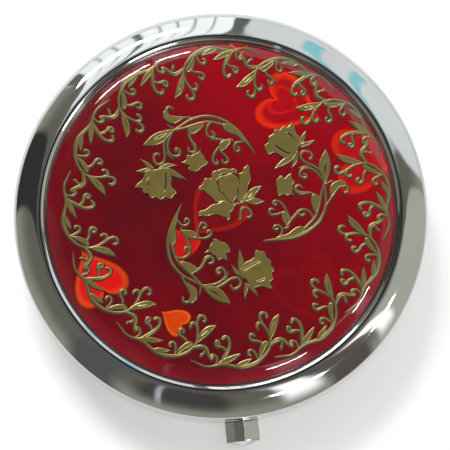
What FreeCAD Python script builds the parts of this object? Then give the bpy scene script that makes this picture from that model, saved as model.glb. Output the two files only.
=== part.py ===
"""Round push-button compact mirror: two cast shells, a hinge, a sprung latch and a domed lid.

The closed compact lies on its base. The underside is z = 0, +Z is up, the button points to -Y and
the hinge is at +Y. Lengths are millimetres.
"""

import FreeCAD, Part
import math
import os
import re

import Sketcher

# Driving dimensions

SIZES = {
    # Case: two cast dishes that meet at the parting plane
    "case_radius": 35.0,
    "sheet": 0.6,
    "shoulder": 4.4,
    "edge_height": 0.5,
    "parting_gap": 0.2,
    # Bezel of the lid and the recess inside it
    "lip_bevel": 1.0,
    "recess_depth": 1.0,
    # Decoration in the recess
    "insert_gap": 0.3,
    "foil_thickness": 0.15,
    "meniscus_width": 1.8,
    "meniscus_height": 1.15,
    # Inner rings that cover the rims and hold the mirrors
    "frame_sink": 0.3,
    "frame_thickness": 0.55,
    "frame_fit": 0.3,
    "seat_wall": 0.5,
    "seat_width": 5.0,
    # Mirrors and the foam behind them
    "mirror_margin": 8.0,
    "mirror_fit": 0.15,
    "mirror_thickness": 1.2,
    "mirror_sink": 0.15,
    "glue_gap": 0.05,
    # Hinge
    "hinge_inset": 1.4,
    "hinge_width": 12.0,
    "leaf_thickness": 0.45,
    "leaf_reach": 3.8,
    "pin_radius": 0.6,
    "pin_fit": 0.04,
    "pin_overhang": 0.12,
    "knuckle_gap": 0.16,
    "hinge_gap": 0.3,
    # Rivets of the hinge
    "rivet_radius": 0.55,
    "hinge_rivet_spread": 4.2,
    "hinge_rivet_inset": 2.7,
    "grip_fit": 0.01,
    # Push-button: a flattened hexagonal bar with a shallow pyramid at its end
    "button_width": 5.8,
    "button_height": 2.8,
    "button_flat": 3.6,
    "button_reach": 3.35,
    "button_point": 0.85,
    "button_fit": 0.15,
    "button_seat_gap": 0.12,
    "press_travel": 1.2,
    # Sliding block with the hook, behind the button
    "slide_gap": 0.1,
    "slider_height": 2.0,
    "slider_width": 9.2,
    "stem_width": 3.0,
    "stem_height": 1.2,
    "stem_length": 2.6,
    "hook_width": 4.0,
    "hook_thickness": 0.8,
    "hook_nib": 0.6,
    "hook_nib_height": 0.75,
    "hook_hold": 0.45,
    "slot_gap": 0.3,
    # Bow spring between the block and the ring
    "spring_length": 3.0,
    "spring_spread": 0.9,
    "spring_strip": 0.2,
    "spring_height": 1.6,
    # Guide ribs, retainer plate and its screws
    "rib_wall": 0.75,
    "rib_length": 2.8,
    "boss_width": 2.2,
    "boss_reach": 2.2,
    "retainer_thickness": 0.4,
    "retainer_gap": 0.3,
    "retainer_depth": 3.8,
    "screw_radius": 0.45,
    "screw_depth": 1.6,
    "screw_head_radius": 0.85,
    "screw_head_height": 0.4,
    # Strike plate of the lid
    "catch_thickness": 0.45,
    "catch_width": 8.8,
    "catch_margin": 0.85,
    # Every cut runs this far past the face that it opens
    "overrun": 0.5,
}

# Counts and angles
KNUCKLES = 3
SHOULDER_BANDS = 4
SHOULDER_TURN = 50.0
SEAT_ANGLES = (0, 90, 180, 270)
STOP_ANGLE = 114.0
BOSS_ANGLE = 15.0
RETAINER_ANGLE = 20.0
BUTTON_TIP_SHARE = 0.06
HOOK_LEAD_SHARE = 0.25
FOAM_SHARE = 1.33
MENISCUS_SHARES = (0.25, 0.7)
DIAGONAL_SHARE = math.sqrt(0.5)

# Places worked out from the sizes
PARTING = "(shoulder + edge_height + parting_gap / 2)"
CROWN_RADIUS = "(case_radius - shoulder)"
RECESS_RADIUS = f"({CROWN_RADIUS} - lip_bevel)"
LID_TOP = f"(2 * {PARTING})"
RECESS_FLOOR = f"({LID_TOP} - recess_depth)"
RECESS_BACK = f"({RECESS_FLOOR} - sheet)"
INSERT_RADIUS = f"({RECESS_RADIUS} - insert_gap)"
FOIL_TOP = f"({RECESS_FLOOR} + foil_thickness)"
BEVEL_OUT = f"({CROWN_RADIUS} + (shoulder - sheet) * {DIAGONAL_SHARE})"
BEVEL_UP = f"(shoulder - (shoulder - sheet) * {DIAGONAL_SHARE})"
FRAME_BACK = "(frame_sink + frame_thickness)"
FRAME_RADIUS = "(case_radius - sheet - frame_fit)"
MIRROR_RADIUS = "(case_radius - mirror_margin)"
FOAM_WIDTH = f"({MIRROR_RADIUS} * {FOAM_SHARE})"
FRAME_HOLE = f"({MIRROR_RADIUS} + mirror_fit)"
SEAT_INNER = f"({FRAME_HOLE} + mirror_fit)"
SEAT_OUTER = f"({SEAT_INNER} + seat_wall)"
HINGE_Y = "(case_radius - hinge_inset)"
HINGE_HALF = "(hinge_width / 2)"
KNUCKLE_RADIUS = f"({FRAME_BACK} + leaf_thickness)"
NOTCH_HALF = f"({HINGE_HALF} + hinge_gap)"
NOTCH_HEIGHT = f"({KNUCKLE_RADIUS} + hinge_gap)"
NOTCH_Y = f"({HINGE_Y} - {KNUCKLE_RADIUS} - hinge_gap)"
RIVET_Y = f"({HINGE_Y} - hinge_rivet_inset)"
BASE_BACK = f"({PARTING} - {FRAME_BACK})"
LID_BACK = f"({PARTING} + {FRAME_BACK})"
SLIDER_TOP = f"({BASE_BACK} - slide_gap)"
SLIDER_BOTTOM = f"({SLIDER_TOP} - slider_height)"
BEVEL_SLOPE_SHARE = (1 - DIAGONAL_SHARE) / DIAGONAL_SHARE
SLIDER_FRONT = f"({BEVEL_OUT} + ({SLIDER_BOTTOM} - {BEVEL_UP}) * {BEVEL_SLOPE_SHARE} - slide_gap)"
SLIDER_BACK = f"({SEAT_OUTER} + spring_length)"
SLIDER_MIDDLE = f"({SLIDER_TOP} - slider_height / 2)"
BUTTON_MIDDLE = f"({SLIDER_TOP} - button_height / 2)"
BUTTON_BACK = f"({SLIDER_FRONT} + button_seat_gap)"
BUTTON_END = "(case_radius + button_reach)"
BOSS_ORBIT = f"({SEAT_OUTER} + boss_reach)"
RETAINER_INNER = f"({SEAT_OUTER} + retainer_gap)"
RETAINER_OUTER = f"({RETAINER_INNER} + retainer_depth)"
RETAINER_TOP = f"({SLIDER_BOTTOM} - slide_gap)"
CATCH_TOP = f"({LID_BACK} + catch_thickness)"
CATCH_OUTER = f"({FRAME_RADIUS} - catch_margin)"
CATCH_INNER = f"({SLIDER_BACK} + hook_thickness + hook_nib - hook_hold)"
HOOK_FACE = f"({SLIDER_BACK} + hook_thickness)"
SLOT_INNER = f"({SLIDER_BACK} - press_travel - slot_gap)"

document = FreeCAD.newDocument("compact_mirror")
sheet = document.addObject("Spreadsheet::Sheet", "Sizes")
for row, (alias, size) in enumerate(SIZES.items(), start=1):
    sheet.set(f"A{row}", alias)
    sheet.set(f"B{row}", str(size))
    sheet.setAlias(f"B{row}", alias)
document.recompute()

subparts = []


# Helpers that bind a document's objects to the sheet


def bound(expression):
    """Return the expression with each size's name pointed at its cell."""
    names = "|".join(sorted(SIZES, key=len, reverse=True))
    return re.sub(rf"\b({names})\b", r"Sizes.\1", expression)


def number(expression):
    """Return the present value of an expression of the sizes."""
    return float(sheet.evalExpression(bound(expression)))


def bind(thing, **expressions):
    """Bind properties of a document object; two underscores stand for a dot."""
    for name, expression in expressions.items():
        thing.setExpression(name.replace("__", "."), bound(expression))


def new_body(label):
    """Start a sub-part as a PartDesign body."""
    body = document.addObject("PartDesign::Body", label)
    body.Label = label
    subparts.append(body)
    return body


def new_sketch(body, name, plane, offset="0"):
    """Start a sketch on one of the body's origin planes, moved along the plane's normal."""
    sketch = body.newObject("Sketcher::SketchObject", name)
    sketch.AttachmentSupport = [(next(f for f in body.Origin.OriginFeatures if f.Role == plane), "")]
    sketch.MapMode = "FlatFace"
    bind(sketch, AttachmentOffset__Base__z=offset)
    return sketch


def fix(sketch, kind, places, expression):
    """Add a driving constraint bound to the sheet."""
    index = sketch.addConstraint(Sketcher.Constraint(kind, *places, number(expression)))
    sketch.setExpression(f"Constraints[{index}]", bound(expression))


def arc_between(start, end, radius, turn):
    """Return the arc under a half circle that turns left (1) or right (-1) from start to end."""
    chord = end - start
    rise = math.sqrt(max(radius**2 - (chord.Length / 2) ** 2, 0))
    left = FreeCAD.Vector(-chord.y, chord.x, 0).normalize()
    centre = (start + end) / 2 + left * rise * turn
    angles = [math.atan2(p.y - centre.y, p.x - centre.x) for p in (start, end)[::turn]]
    return Part.ArcOfCircle(Part.Circle(centre, FreeCAD.Vector(0, 0, 1), radius), *angles)


def outline(sketch, corners, arcs=None):
    """Draw a closed outline; arcs gives the (radius, turn) of its round edges, by index."""
    arcs = arcs or {}
    points = [FreeCAD.Vector(number(across), number(up), 0) for across, up in corners]
    edges = []
    for index, (start, end) in enumerate(zip(points, points[1:] + points[:1])):
        radius, turn = arcs.get(index, (None, 1))
        curve = Part.LineSegment(start, end)
        if radius:
            curve = arc_between(start, end, number(radius), turn)
        ends = (1, 2)[::turn]
        edges.append((sketch.addGeometry(curve), *ends))
    for index, (edge, first, last) in enumerate(edges):
        after, after_first, after_last = edges[(index + 1) % len(edges)]
        sketch.addConstraint(Sketcher.Constraint("Coincident", edge, last, after, after_first))
        fix(sketch, "DistanceX", (-1, 1, edge, first), corners[index][0])
        fix(sketch, "DistanceY", (-1, 1, edge, first), corners[index][1])
        if index in arcs:
            fix(sketch, "Radius", (edge,), arcs[index][0])
    return sketch


def box_outline(sketch, left, right, low, high):
    """Draw a rectangle."""
    return outline(sketch, [(left, low), (right, low), (right, high), (left, high)])


def round_outline(sketch, across, up, radius):
    """Draw a circle."""
    centre = FreeCAD.Vector(number(across), number(up), 0)
    edge = sketch.addGeometry(Part.Circle(centre, FreeCAD.Vector(0, 0, 1), number(radius)))
    fix(sketch, "DistanceX", (-1, 1, edge, 3), across)
    fix(sketch, "DistanceY", (-1, 1, edge, 3), up)
    fix(sketch, "Radius", (edge,), radius)
    return sketch


def revolve(body, sketch):
    """Turn a sketch round its vertical axis."""
    feature = body.newObject("PartDesign::Revolution", f"{sketch.Name}_turn")
    feature.Profile = sketch
    feature.ReferenceAxis = (sketch, ["V_Axis"])
    feature.Angle = 360
    return feature


def pad(body, sketch, length, back=False):
    """Raise a sketch along its normal, or the other way."""
    feature = body.newObject("PartDesign::Pad", f"{sketch.Name}_pad")
    feature.Profile = sketch
    feature.Reversed = back
    bind(feature, Length=length)
    return feature


def cut(body, sketch, depth, back=False):
    """Sink a sketch against its normal, or the other way, and see that material went."""
    document.recompute()
    before = body.Shape.Volume
    feature = body.newObject("PartDesign::Pocket", f"{sketch.Name}_cut")
    feature.Profile = sketch
    feature.Reversed = back
    bind(feature, Length=depth)
    document.recompute()
    if body.Shape.Volume >= before:
        raise ValueError(f"{feature.Name} removes nothing")
    return feature


def mirrored_pair(label, item):
    """Join an object and its mirror image across the YZ plane into one sub-part."""
    twin = document.addObject("Part::Mirroring", f"{label}_left")
    twin.Source = item
    twin.Normal = FreeCAD.Vector(1, 0, 0)
    pair = document.addObject("Part::Compound", label)
    pair.Label = label
    pair.Links = [item, twin]
    subparts.append(pair)


# Shells


def shoulder_corners(face, inward):
    """Return the corners of a shell's rounded edge, from its flat face to its upright wall, as short cones."""
    corners = []
    full_share = math.sin(math.radians(SHOULDER_TURN))
    for band in range(SHOULDER_BANDS + 1):
        turn = math.radians(SHOULDER_TURN * band / SHOULDER_BANDS)
        across = f"{CROWN_RADIUS} + shoulder * {math.sin(turn) / full_share}"
        corners.append((across, f"{face} {inward} shoulder * {(1 - math.cos(turn)) / full_share}"))
    return corners


def hinge_room(body, side):
    """Cut a shell's notch for the knuckles and the bevel on which the open lid stops."""
    notch = new_sketch(body, f"{body.Name}_notch", "XY_Plane", PARTING)
    draw_hinge_notch(notch)
    cut(body, notch, NOTCH_HEIGHT, back=side == "+")
    bevel = new_sketch(body, f"{body.Name}_bevel", "YZ_Plane", "case_radius")
    past = "(case_radius + overrun)"
    slope = math.tan(math.radians(STOP_ANGLE / 2))
    far = f"{PARTING} {side} ({past} - {HINGE_Y}) * {slope}"
    corners = [(HINGE_Y, PARTING), (past, PARTING), (past, far)]
    outline(bevel, corners)
    cut(body, bevel, "2 * case_radius")


def base_shell():
    """Cast dish with a rounded edge, a window for the button and a notch for the hinge."""
    body = new_body("base_shell")
    rim = f"{PARTING} - parting_gap / 2"
    corners = [
        ("0", "0"),
        *shoulder_corners("0", "+"),
        ("case_radius", rim),
        ("case_radius - sheet", rim),
        (BEVEL_OUT, BEVEL_UP),
        (CROWN_RADIUS, "sheet"),
        ("0", "sheet"),
    ]
    revolve(body, outline(new_sketch(body, "base_section", "XZ_Plane"), corners))
    window = new_sketch(body, "button_window", "XZ_Plane", "case_radius + overrun")
    outline(window, hexagon("button_fit"))
    cut(body, window, "shoulder + overrun")
    hinge_room(body, "-")


def lid_shell():
    """Cast lid: convex bezel, bevelled inner lip, recess for the decoration and a hinge notch."""
    body = new_body("lid_shell")
    rim = f"{PARTING} + parting_gap / 2"
    corners = [
        ("0", RECESS_BACK),
        (BEVEL_OUT, RECESS_BACK),
        ("case_radius - sheet", rim),
        ("case_radius", rim),
        *reversed(shoulder_corners(LID_TOP, "-")),
        (RECESS_RADIUS, RECESS_FLOOR),
        ("0", RECESS_FLOOR),
    ]
    revolve(body, outline(new_sketch(body, "lid_section", "XZ_Plane"), corners))
    hinge_room(body, "+")


# Decoration in the lid's recess


def foil_disc():
    """Round of red foil on the floor of the recess."""
    disc = document.addObject("Part::Cylinder", "foil_disc")
    disc.Label = "foil_disc"
    bind(disc, Radius=INSERT_RADIUS, Height="foil_thickness", Placement__Base__z=RECESS_FLOOR)
    subparts.append(disc)


def resin_dome():
    """Clear resin poured over the foil, flat on top and falling off in two slopes at its edge."""
    body = new_body("resin_dome")
    out_share, up_share = MENISCUS_SHARES
    corners = [
        ("0", FOIL_TOP),
        (INSERT_RADIUS, FOIL_TOP),
        (f"{INSERT_RADIUS} - meniscus_width * {out_share}", f"{FOIL_TOP} + meniscus_height * {up_share}"),
        (f"{INSERT_RADIUS} - meniscus_width", f"{FOIL_TOP} + meniscus_height"),
        ("0", f"{FOIL_TOP} + meniscus_height"),
    ]
    revolve(body, outline(new_sketch(body, "dome_section", "XZ_Plane"), corners))


# Inner rings, mirrors and pads


def ring(body, side, floor):
    """Make an inner ring and the walls that stand it on its shell; side is + for the lid."""
    face = f"{PARTING} {side} frame_sink"
    back = f"{PARTING} {side} {FRAME_BACK}"
    corners = [(FRAME_HOLE, face), (FRAME_RADIUS, face), (FRAME_RADIUS, back), (FRAME_HOLE, back)]
    revolve(body, outline(new_sketch(body, f"{body.Name}_section", "XZ_Plane"), corners))
    walls = new_sketch(body, f"{body.Name}_seats", "XY_Plane", floor)
    for angle in SEAT_ANGLES:
        out_x = round(math.cos(math.radians(angle)))
        out_y = round(math.sin(math.radians(angle)))
        corners = []
        for reach, sign in ((SEAT_INNER, "-"), (SEAT_OUTER, "-"), (SEAT_OUTER, "+"), (SEAT_INNER, "+")):
            half = f"({sign}seat_width / 2)"
            across = f"{reach} * {out_x} - {half} * {out_y}"
            corners.append((across, f"{reach} * {out_y} + {half} * {out_x}"))
        outline(walls, corners)
    pad(body, walls, f"abs({back} - {floor})", back=side == "+")


def cut_flange(body, name, side, draw):
    """Cut an outline, drawn by draw, through the flange of an inner ring."""
    start = f"{PARTING} - frame_sink"
    if side == "+":
        start = f"{LID_BACK} + overrun / 2"
    sketch = new_sketch(body, name, "XY_Plane", start)
    draw(sketch)
    cut(body, sketch, "frame_thickness + overrun / 2")


def draw_hinge_notch(sketch):
    """Draw the room for the knuckles."""
    box_outline(sketch, f"-{NOTCH_HALF}", NOTCH_HALF, NOTCH_Y, "case_radius + overrun")


def draw_hook_slot(sketch):
    """Draw the slot that the hook moves in."""
    half = "(hook_width / 2 + slot_gap)"
    box_outline(sketch, f"-{half}", half, f"-({HOOK_FACE} + slot_gap)", f"-{SLOT_INNER}")


def draw_hinge_rivet_holes(sketch):
    """Draw the holes for the two rivets of a hinge leaf."""
    for sign in ("-", ""):
        round_outline(sketch, f"{sign}hinge_rivet_spread", RIVET_Y, "rivet_radius + grip_fit")


def boss_place(sign):
    """Return the place of a screw boss, left (-1) or right (1) of the latch."""
    turn = math.radians(BOSS_ANGLE)
    return f"{BOSS_ORBIT} * {sign * math.sin(turn)}", f"-{BOSS_ORBIT} * {math.cos(turn)}"


def base_frame():
    """Ring of the base: holds the mirror and carries the latch's ribs, bosses and spring seat."""
    body = new_body("base_frame")
    ring(body, "-", "sheet")
    cut_flange(body, "base_ring_notch", "-", draw_hinge_notch)
    cut_flange(body, "base_hook_slot", "-", draw_hook_slot)
    cut_flange(body, "base_rivet_holes", "-", draw_hinge_rivet_holes)
    drop = f"{BASE_BACK} - {RETAINER_TOP}"
    ribs = new_sketch(body, "guide_ribs", "XY_Plane", RETAINER_TOP)
    near = "(slider_width / 2 + slide_gap)"
    far = f"({near} + rib_wall)"
    back = f"({SLIDER_BACK} - press_travel)"
    box_outline(ribs, near, far, f"-({back} + rib_length)", f"-{back}")
    box_outline(ribs, f"-{far}", f"-{near}", f"-({back} + rib_length)", f"-{back}")
    pad(body, ribs, drop)
    bosses = new_sketch(body, "screw_bosses", "XY_Plane", RETAINER_TOP)
    holes = new_sketch(body, "screw_holes", "XY_Plane", RETAINER_TOP)
    for sign in (-1, 1):
        across, along = boss_place(sign)
        left, right = f"{across} - boss_width / 2", f"{across} + boss_width / 2"
        box_outline(bosses, left, right, f"{along} - boss_width / 2", f"{along} + boss_width / 2")
        round_outline(holes, across, along, "screw_radius + grip_fit")
    pad(body, bosses, drop)
    cut(body, holes, "screw_depth", back=True)


def lid_frame():
    """Ring of the lid: holds the lid's mirror and takes the hook through its slot."""
    body = new_body("lid_frame")
    ring(body, "+", RECESS_BACK)
    cut_flange(body, "lid_ring_notch", "+", draw_hinge_notch)
    cut_flange(body, "lid_hook_slot", "+", draw_hook_slot)
    cut_flange(body, "lid_rivet_holes", "+", draw_hinge_rivet_holes)


def mirrors_and_pads():
    """Glass of each half, just below the face of its ring, and the square of foam tape behind it."""
    base_glass = f"({PARTING} - frame_sink - mirror_sink - mirror_thickness)"
    lid_glass = f"({PARTING} + frame_sink + mirror_sink)"
    lid_pad = f"({lid_glass} + mirror_thickness)"
    halves = {
        "base": (base_glass, "sheet", f"{base_glass} - sheet"),
        "lid": (lid_glass, lid_pad, f"{RECESS_BACK} - {lid_pad}"),
    }
    for half, (glass_low, pad_low, pad_thickness) in halves.items():
        glass = document.addObject("Part::Cylinder", f"{half}_mirror")
        foam = document.addObject("Part::Box", f"{half}_mirror_pad")
        for item in (glass, foam):
            item.Label = item.Name
            subparts.append(item)
        bind(glass, Radius=MIRROR_RADIUS, Height="mirror_thickness", Placement__Base__z=glass_low)
        bind(foam, Length=FOAM_WIDTH, Width=FOAM_WIDTH, Height=f"{pad_thickness} - 2 * glue_gap")
        bind(foam, Placement__Base__x=f"-{FOAM_WIDTH} / 2", Placement__Base__y=f"-{FOAM_WIDTH} / 2")
        bind(foam, Placement__Base__z=f"{pad_low} + glue_gap")


# Hinge


def hinge_leaf(label, side, own_cells, bore):
    """Leaf with its share of the knuckles; side is + for the lid and - for the base."""
    body = new_body(label)
    barrel = new_sketch(body, f"{label}_barrel", "YZ_Plane", f"-{HINGE_HALF}")
    round_outline(barrel, HINGE_Y, PARTING, KNUCKLE_RADIUS)
    pad(body, barrel, f"2 * {HINGE_HALF}")
    plate = new_sketch(body, f"{label}_plate", "YZ_Plane", f"-{HINGE_HALF}")
    near = f"{PARTING} {side} {FRAME_BACK}"
    far = f"{PARTING} {side} {KNUCKLE_RADIUS}"
    low, high = (near, far) if side == "+" else (far, near)
    box_outline(plate, f"{HINGE_Y} - leaf_reach", HINGE_Y, low, high)
    pad(body, plate, f"2 * {HINGE_HALF}")
    gaps = new_sketch(body, f"{label}_gaps", "XY_Plane", f"{PARTING} + {KNUCKLE_RADIUS} + overrun")
    for cell in range(KNUCKLES):
        if cell in own_cells:
            continue
        start = f"-{HINGE_HALF} + {cell} * 2 * {HINGE_HALF} / {KNUCKLES}"
        left = f"{start} - knuckle_gap / 2" if cell else f"{start} - overrun"
        right = f"{start} + 2 * {HINGE_HALF} / {KNUCKLES} + "
        right += "knuckle_gap / 2" if cell < KNUCKLES - 1 else "overrun"
        box_outline(gaps, left, right, NOTCH_Y, f"{HINGE_Y} + {KNUCKLE_RADIUS} + overrun")
    cut(body, gaps, f"2 * ({KNUCKLE_RADIUS} + overrun)")
    hole = new_sketch(body, f"{label}_bore", "YZ_Plane", f"{HINGE_HALF} + overrun")
    round_outline(hole, HINGE_Y, PARTING, bore)
    cut(body, hole, f"2 * ({HINGE_HALF} + overrun)")
    rivets = new_sketch(body, f"{label}_rivet_holes", "XY_Plane", f"{low} - overrun / 2")
    draw_hinge_rivet_holes(rivets)
    cut(body, rivets, "leaf_thickness + overrun", back=True)


def hinge_pin():
    """Steel pin through all the knuckles, held by the base's own."""
    pin = document.addObject("Part::Cylinder", "hinge_pin")
    pin.Label = "hinge_pin"
    pin.Placement = FreeCAD.Placement(FreeCAD.Vector(), FreeCAD.Rotation(FreeCAD.Vector(0, 1, 0), 90))
    start = f"-({HINGE_HALF} + pin_overhang)"
    bind(pin, Radius="pin_radius", Height=f"2 * ({HINGE_HALF} + pin_overhang)")
    bind(pin, Placement__Base__x=start, Placement__Base__y=HINGE_Y, Placement__Base__z=PARTING)
    subparts.append(pin)


def hinge_rivets(label, low):
    """Two rivets peened flush with the leaf and the ring that they hold together."""
    rivet = document.addObject("Part::Cylinder", f"{label}_right")
    bind(rivet, Radius="rivet_radius", Height="frame_thickness + leaf_thickness")
    bind(rivet, Placement__Base__x="hinge_rivet_spread", Placement__Base__y=RIVET_Y)
    bind(rivet, Placement__Base__z=low)
    mirrored_pair(label, rivet)


# Latch


def hexagon(extra):
    """Return the corners of the button's section, grown by extra all round."""
    wide = f"(button_width / 2 + {extra})"
    flat = f"(button_flat / 2 + {extra} / 2)"
    high = f"{BUTTON_MIDDLE} + button_height / 2 + {extra} / 2"
    low = f"{BUTTON_MIDDLE} - button_height / 2 - {extra}"
    return [
        (f"-{wide}", BUTTON_MIDDLE),
        (f"-{flat}", low),
        (flat, low),
        (wide, BUTTON_MIDDLE),
        (flat, high),
        (f"-{flat}", high),
    ]


def push_button():
    """Faceted bar with a shallow pyramid end and a socket for the slider's stem."""
    body = new_body("push_button")
    bar = new_sketch(body, "button_bar", "XZ_Plane", BUTTON_BACK)
    outline(bar, hexagon("0"))
    pad(body, bar, f"{BUTTON_END} + button_point - {BUTTON_BACK}")
    end, tip = f"-{BUTTON_END}", f"-({BUTTON_END} + button_point)"
    past = f"{tip} - overrun"
    share = BUTTON_TIP_SHARE
    sides = new_sketch(body, "button_sides", "XY_Plane", f"{SLIDER_TOP} + overrun")
    cheeks = new_sketch(body, "button_cheeks", "YZ_Plane", "button_width / 2 + overrun")
    for sign in ("-", ""):
        wide, tall = f"{sign}button_width / 2", f"{sign}button_height / 2"
        rim, far = f"{wide} * {share}", f"{wide} * 2"
        outline(sides, [(wide, end), (rim, tip), (rim, past), (far, past), (far, end)])
        rim, far = f"{BUTTON_MIDDLE} + {tall} * {share}", f"{BUTTON_MIDDLE} + {tall} * 2"
        edge = f"{BUTTON_MIDDLE} + {tall}"
        outline(cheeks, [(end, edge), (tip, rim), (past, rim), (past, far), (end, far)])
    cut(body, sides, "button_height + 2 * overrun")
    cut(body, cheeks, "button_width + 2 * overrun")
    socket = new_sketch(body, "button_socket", "XZ_Plane", BUTTON_BACK)
    half, tall = "(stem_width / 2 + grip_fit)", "(stem_height / 2 + grip_fit)"
    box_outline(socket, f"-{half}", half, f"{SLIDER_MIDDLE} - {tall}", f"{SLIDER_MIDDLE} + {tall}")
    cut(body, socket, f"stem_length + grip_fit - ({BUTTON_BACK} - {SLIDER_FRONT})", back=True)


def latch_slider():
    """Block behind the case wall, with the button's stem and the hook that holds the lid."""
    body = new_body("latch_slider")
    half = "slider_width / 2"
    ear = f"-sqrt({SLIDER_FRONT} ^ 2 - ({half}) ^ 2)"
    back = f"-{SLIDER_BACK}"
    corners = [(f"-{half}", back), (f"-{half}", ear), (half, ear), (half, back)]
    block = new_sketch(body, "slider_block", "XY_Plane", SLIDER_BOTTOM)
    pad(body, outline(block, corners, {1: (SLIDER_FRONT, 1)}), "slider_height")
    stem = new_sketch(body, "slider_stem", "XZ_Plane", f"{SLIDER_FRONT} - overrun")
    tall = "stem_height / 2"
    low, high = f"{SLIDER_MIDDLE} - {tall}", f"{SLIDER_MIDDLE} + {tall}"
    box_outline(stem, "-stem_width / 2", "stem_width / 2", low, high)
    pad(body, stem, "stem_length + overrun")
    hook = new_sketch(body, "hook_profile", "YZ_Plane", "-hook_width / 2")
    nib_low = f"({CATCH_TOP} + slide_gap)"
    corners = [
        (f"-{HOOK_FACE}", f"{SLIDER_TOP} - overrun"),
        (f"-{SLIDER_BACK}", f"{SLIDER_TOP} - overrun"),
        (f"-{SLIDER_BACK}", f"{nib_low} + hook_nib_height"),
        (f"-({HOOK_FACE} - hook_thickness * {HOOK_LEAD_SHARE})", f"{nib_low} + hook_nib_height"),
        (f"-({HOOK_FACE} + hook_nib)", f"{nib_low} + hook_nib_height * {HOOK_LEAD_SHARE}"),
        (f"-({HOOK_FACE} + hook_nib)", nib_low),
        (f"-{HOOK_FACE}", nib_low),
    ]
    pad(body, outline(hook, corners), "hook_width")


def latch_retainer():
    """Plate under the block, held to the ring's bosses by two screws."""
    body = new_body("latch_retainer")
    across, along = math.sin(math.radians(RETAINER_ANGLE)), math.cos(math.radians(RETAINER_ANGLE))
    corners = [
        (f"-{RETAINER_OUTER} * {across}", f"-{RETAINER_OUTER} * {along}"),
        (f"{RETAINER_OUTER} * {across}", f"-{RETAINER_OUTER} * {along}"),
        (f"{RETAINER_INNER} * {across}", f"-{RETAINER_INNER} * {along}"),
        (f"-{RETAINER_INNER} * {across}", f"-{RETAINER_INNER} * {along}"),
    ]
    plate = new_sketch(body, "retainer_plate", "XY_Plane", f"{RETAINER_TOP} - retainer_thickness")
    outline(plate, corners, {0: (RETAINER_OUTER, 1), 2: (RETAINER_INNER, -1)})
    pad(body, plate, "retainer_thickness")
    holes = new_sketch(body, "retainer_holes", "XY_Plane", f"{RETAINER_TOP} + overrun / 2")
    for sign in (-1, 1):
        round_outline(holes, *boss_place(sign), "screw_radius + grip_fit")
    cut(body, holes, "retainer_thickness + overrun")


def retainer_screws():
    """Two screws up through the retainer into the bosses."""
    head = document.addObject("Part::Cylinder", "screw_head")
    shank = document.addObject("Part::Cylinder", "screw_shank")
    across, along = boss_place(1)
    seat = f"{RETAINER_TOP} - retainer_thickness"
    for item in (head, shank):
        bind(item, Placement__Base__x=across, Placement__Base__y=along)
    bind(head, Radius="screw_head_radius", Height="screw_head_height")
    bind(head, Placement__Base__z=f"{seat} - screw_head_height")
    bind(shank, Radius="screw_radius", Height="retainer_thickness + screw_depth")
    bind(shank, Placement__Base__z=seat)
    screw = document.addObject("Part::Fuse", "screw")
    screw.Base, screw.Tool = head, shank
    mirrored_pair("retainer_screws", screw)


def latch_spring():
    """Bowed strip of spring steel: its middle rests on the ring's wall and its ends on the block."""
    body = new_body("latch_spring")
    reach = "(spring_length + spring_spread)"
    rise = "(spring_length - 2 * grip_fit)"
    bend = f"(({reach} ^ 2 + {rise} ^ 2) / (2 * {rise}))"
    inner = f"({bend} - spring_strip)"
    inner_reach = f"sqrt({inner} ^ 2 - ({bend} - {rise}) ^ 2)"
    ends = f"-({SLIDER_BACK} - grip_fit)"
    corners = [(reach, ends), (f"-{reach}", ends), (f"-{inner_reach}", ends), (inner_reach, ends)]
    bow = new_sketch(body, "spring_bow", "XY_Plane", f"{SLIDER_MIDDLE} - spring_height / 2")
    pad(body, outline(bow, corners, {0: (bend, 1), 2: (inner, -1)}), "spring_height")


def lid_catch():
    """Strike plate welded on the back of the lid's ring; the hook's nib holds its edge."""
    body = new_body("lid_catch")
    plate = new_sketch(body, "catch_plate", "XY_Plane", LID_BACK)
    half = "catch_width / 2"
    box_outline(plate, f"-{half}", half, f"-{CATCH_OUTER}", f"-{CATCH_INNER}")
    pad(body, plate, "catch_thickness")


# Build the document, check it and write the parts

base_shell()
lid_shell()
foil_disc()
resin_dome()
base_frame()
lid_frame()
mirrors_and_pads()
hinge_leaf("base_hinge_leaf", "-", (0, 2), "pin_radius + grip_fit")
hinge_leaf("lid_hinge_leaf", "+", (1,), "pin_radius + pin_fit")
hinge_pin()
hinge_rivets("base_hinge_rivets", f"{PARTING} - {KNUCKLE_RADIUS}")
hinge_rivets("lid_hinge_rivets", f"{PARTING} + frame_sink")
push_button()
latch_slider()
latch_spring()
latch_retainer()
retainer_screws()
lid_catch()
document.recompute()

for item in document.Objects:
    if "Invalid" in item.State or "Error" in item.State:
        raise RuntimeError(f"{item.Name} failed to compute: {item.State}")
for item in subparts:
    if item.Shape.isNull() or not item.Shape.isValid() or not item.Shape.Solids:
        raise RuntimeError(f"{item.Label} has no valid solid")

os.makedirs("parts", exist_ok=True)
for item in subparts:
    item.Shape.exportStep(f"parts/{item.Label}.step")
    print(f"{item.Label}: {len(item.Shape.Solids)} solid(s), {item.Shape.Volume:.2f} mm3")
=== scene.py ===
# %% [markdown]
# A round pocket compact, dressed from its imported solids.
# The real thing is a polished metal case of two dishes on a hinge. Its lid carries red foil and raised gold
# scrollwork under a poured dome of clear resin, and a small faceted button at the front frees the latch.
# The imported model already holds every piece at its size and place, in metres. This lesson keeps the pieces
# whose plain shape is right, gives them finishes, and models again those that need smooth polish or ornament.

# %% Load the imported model
import math

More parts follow.
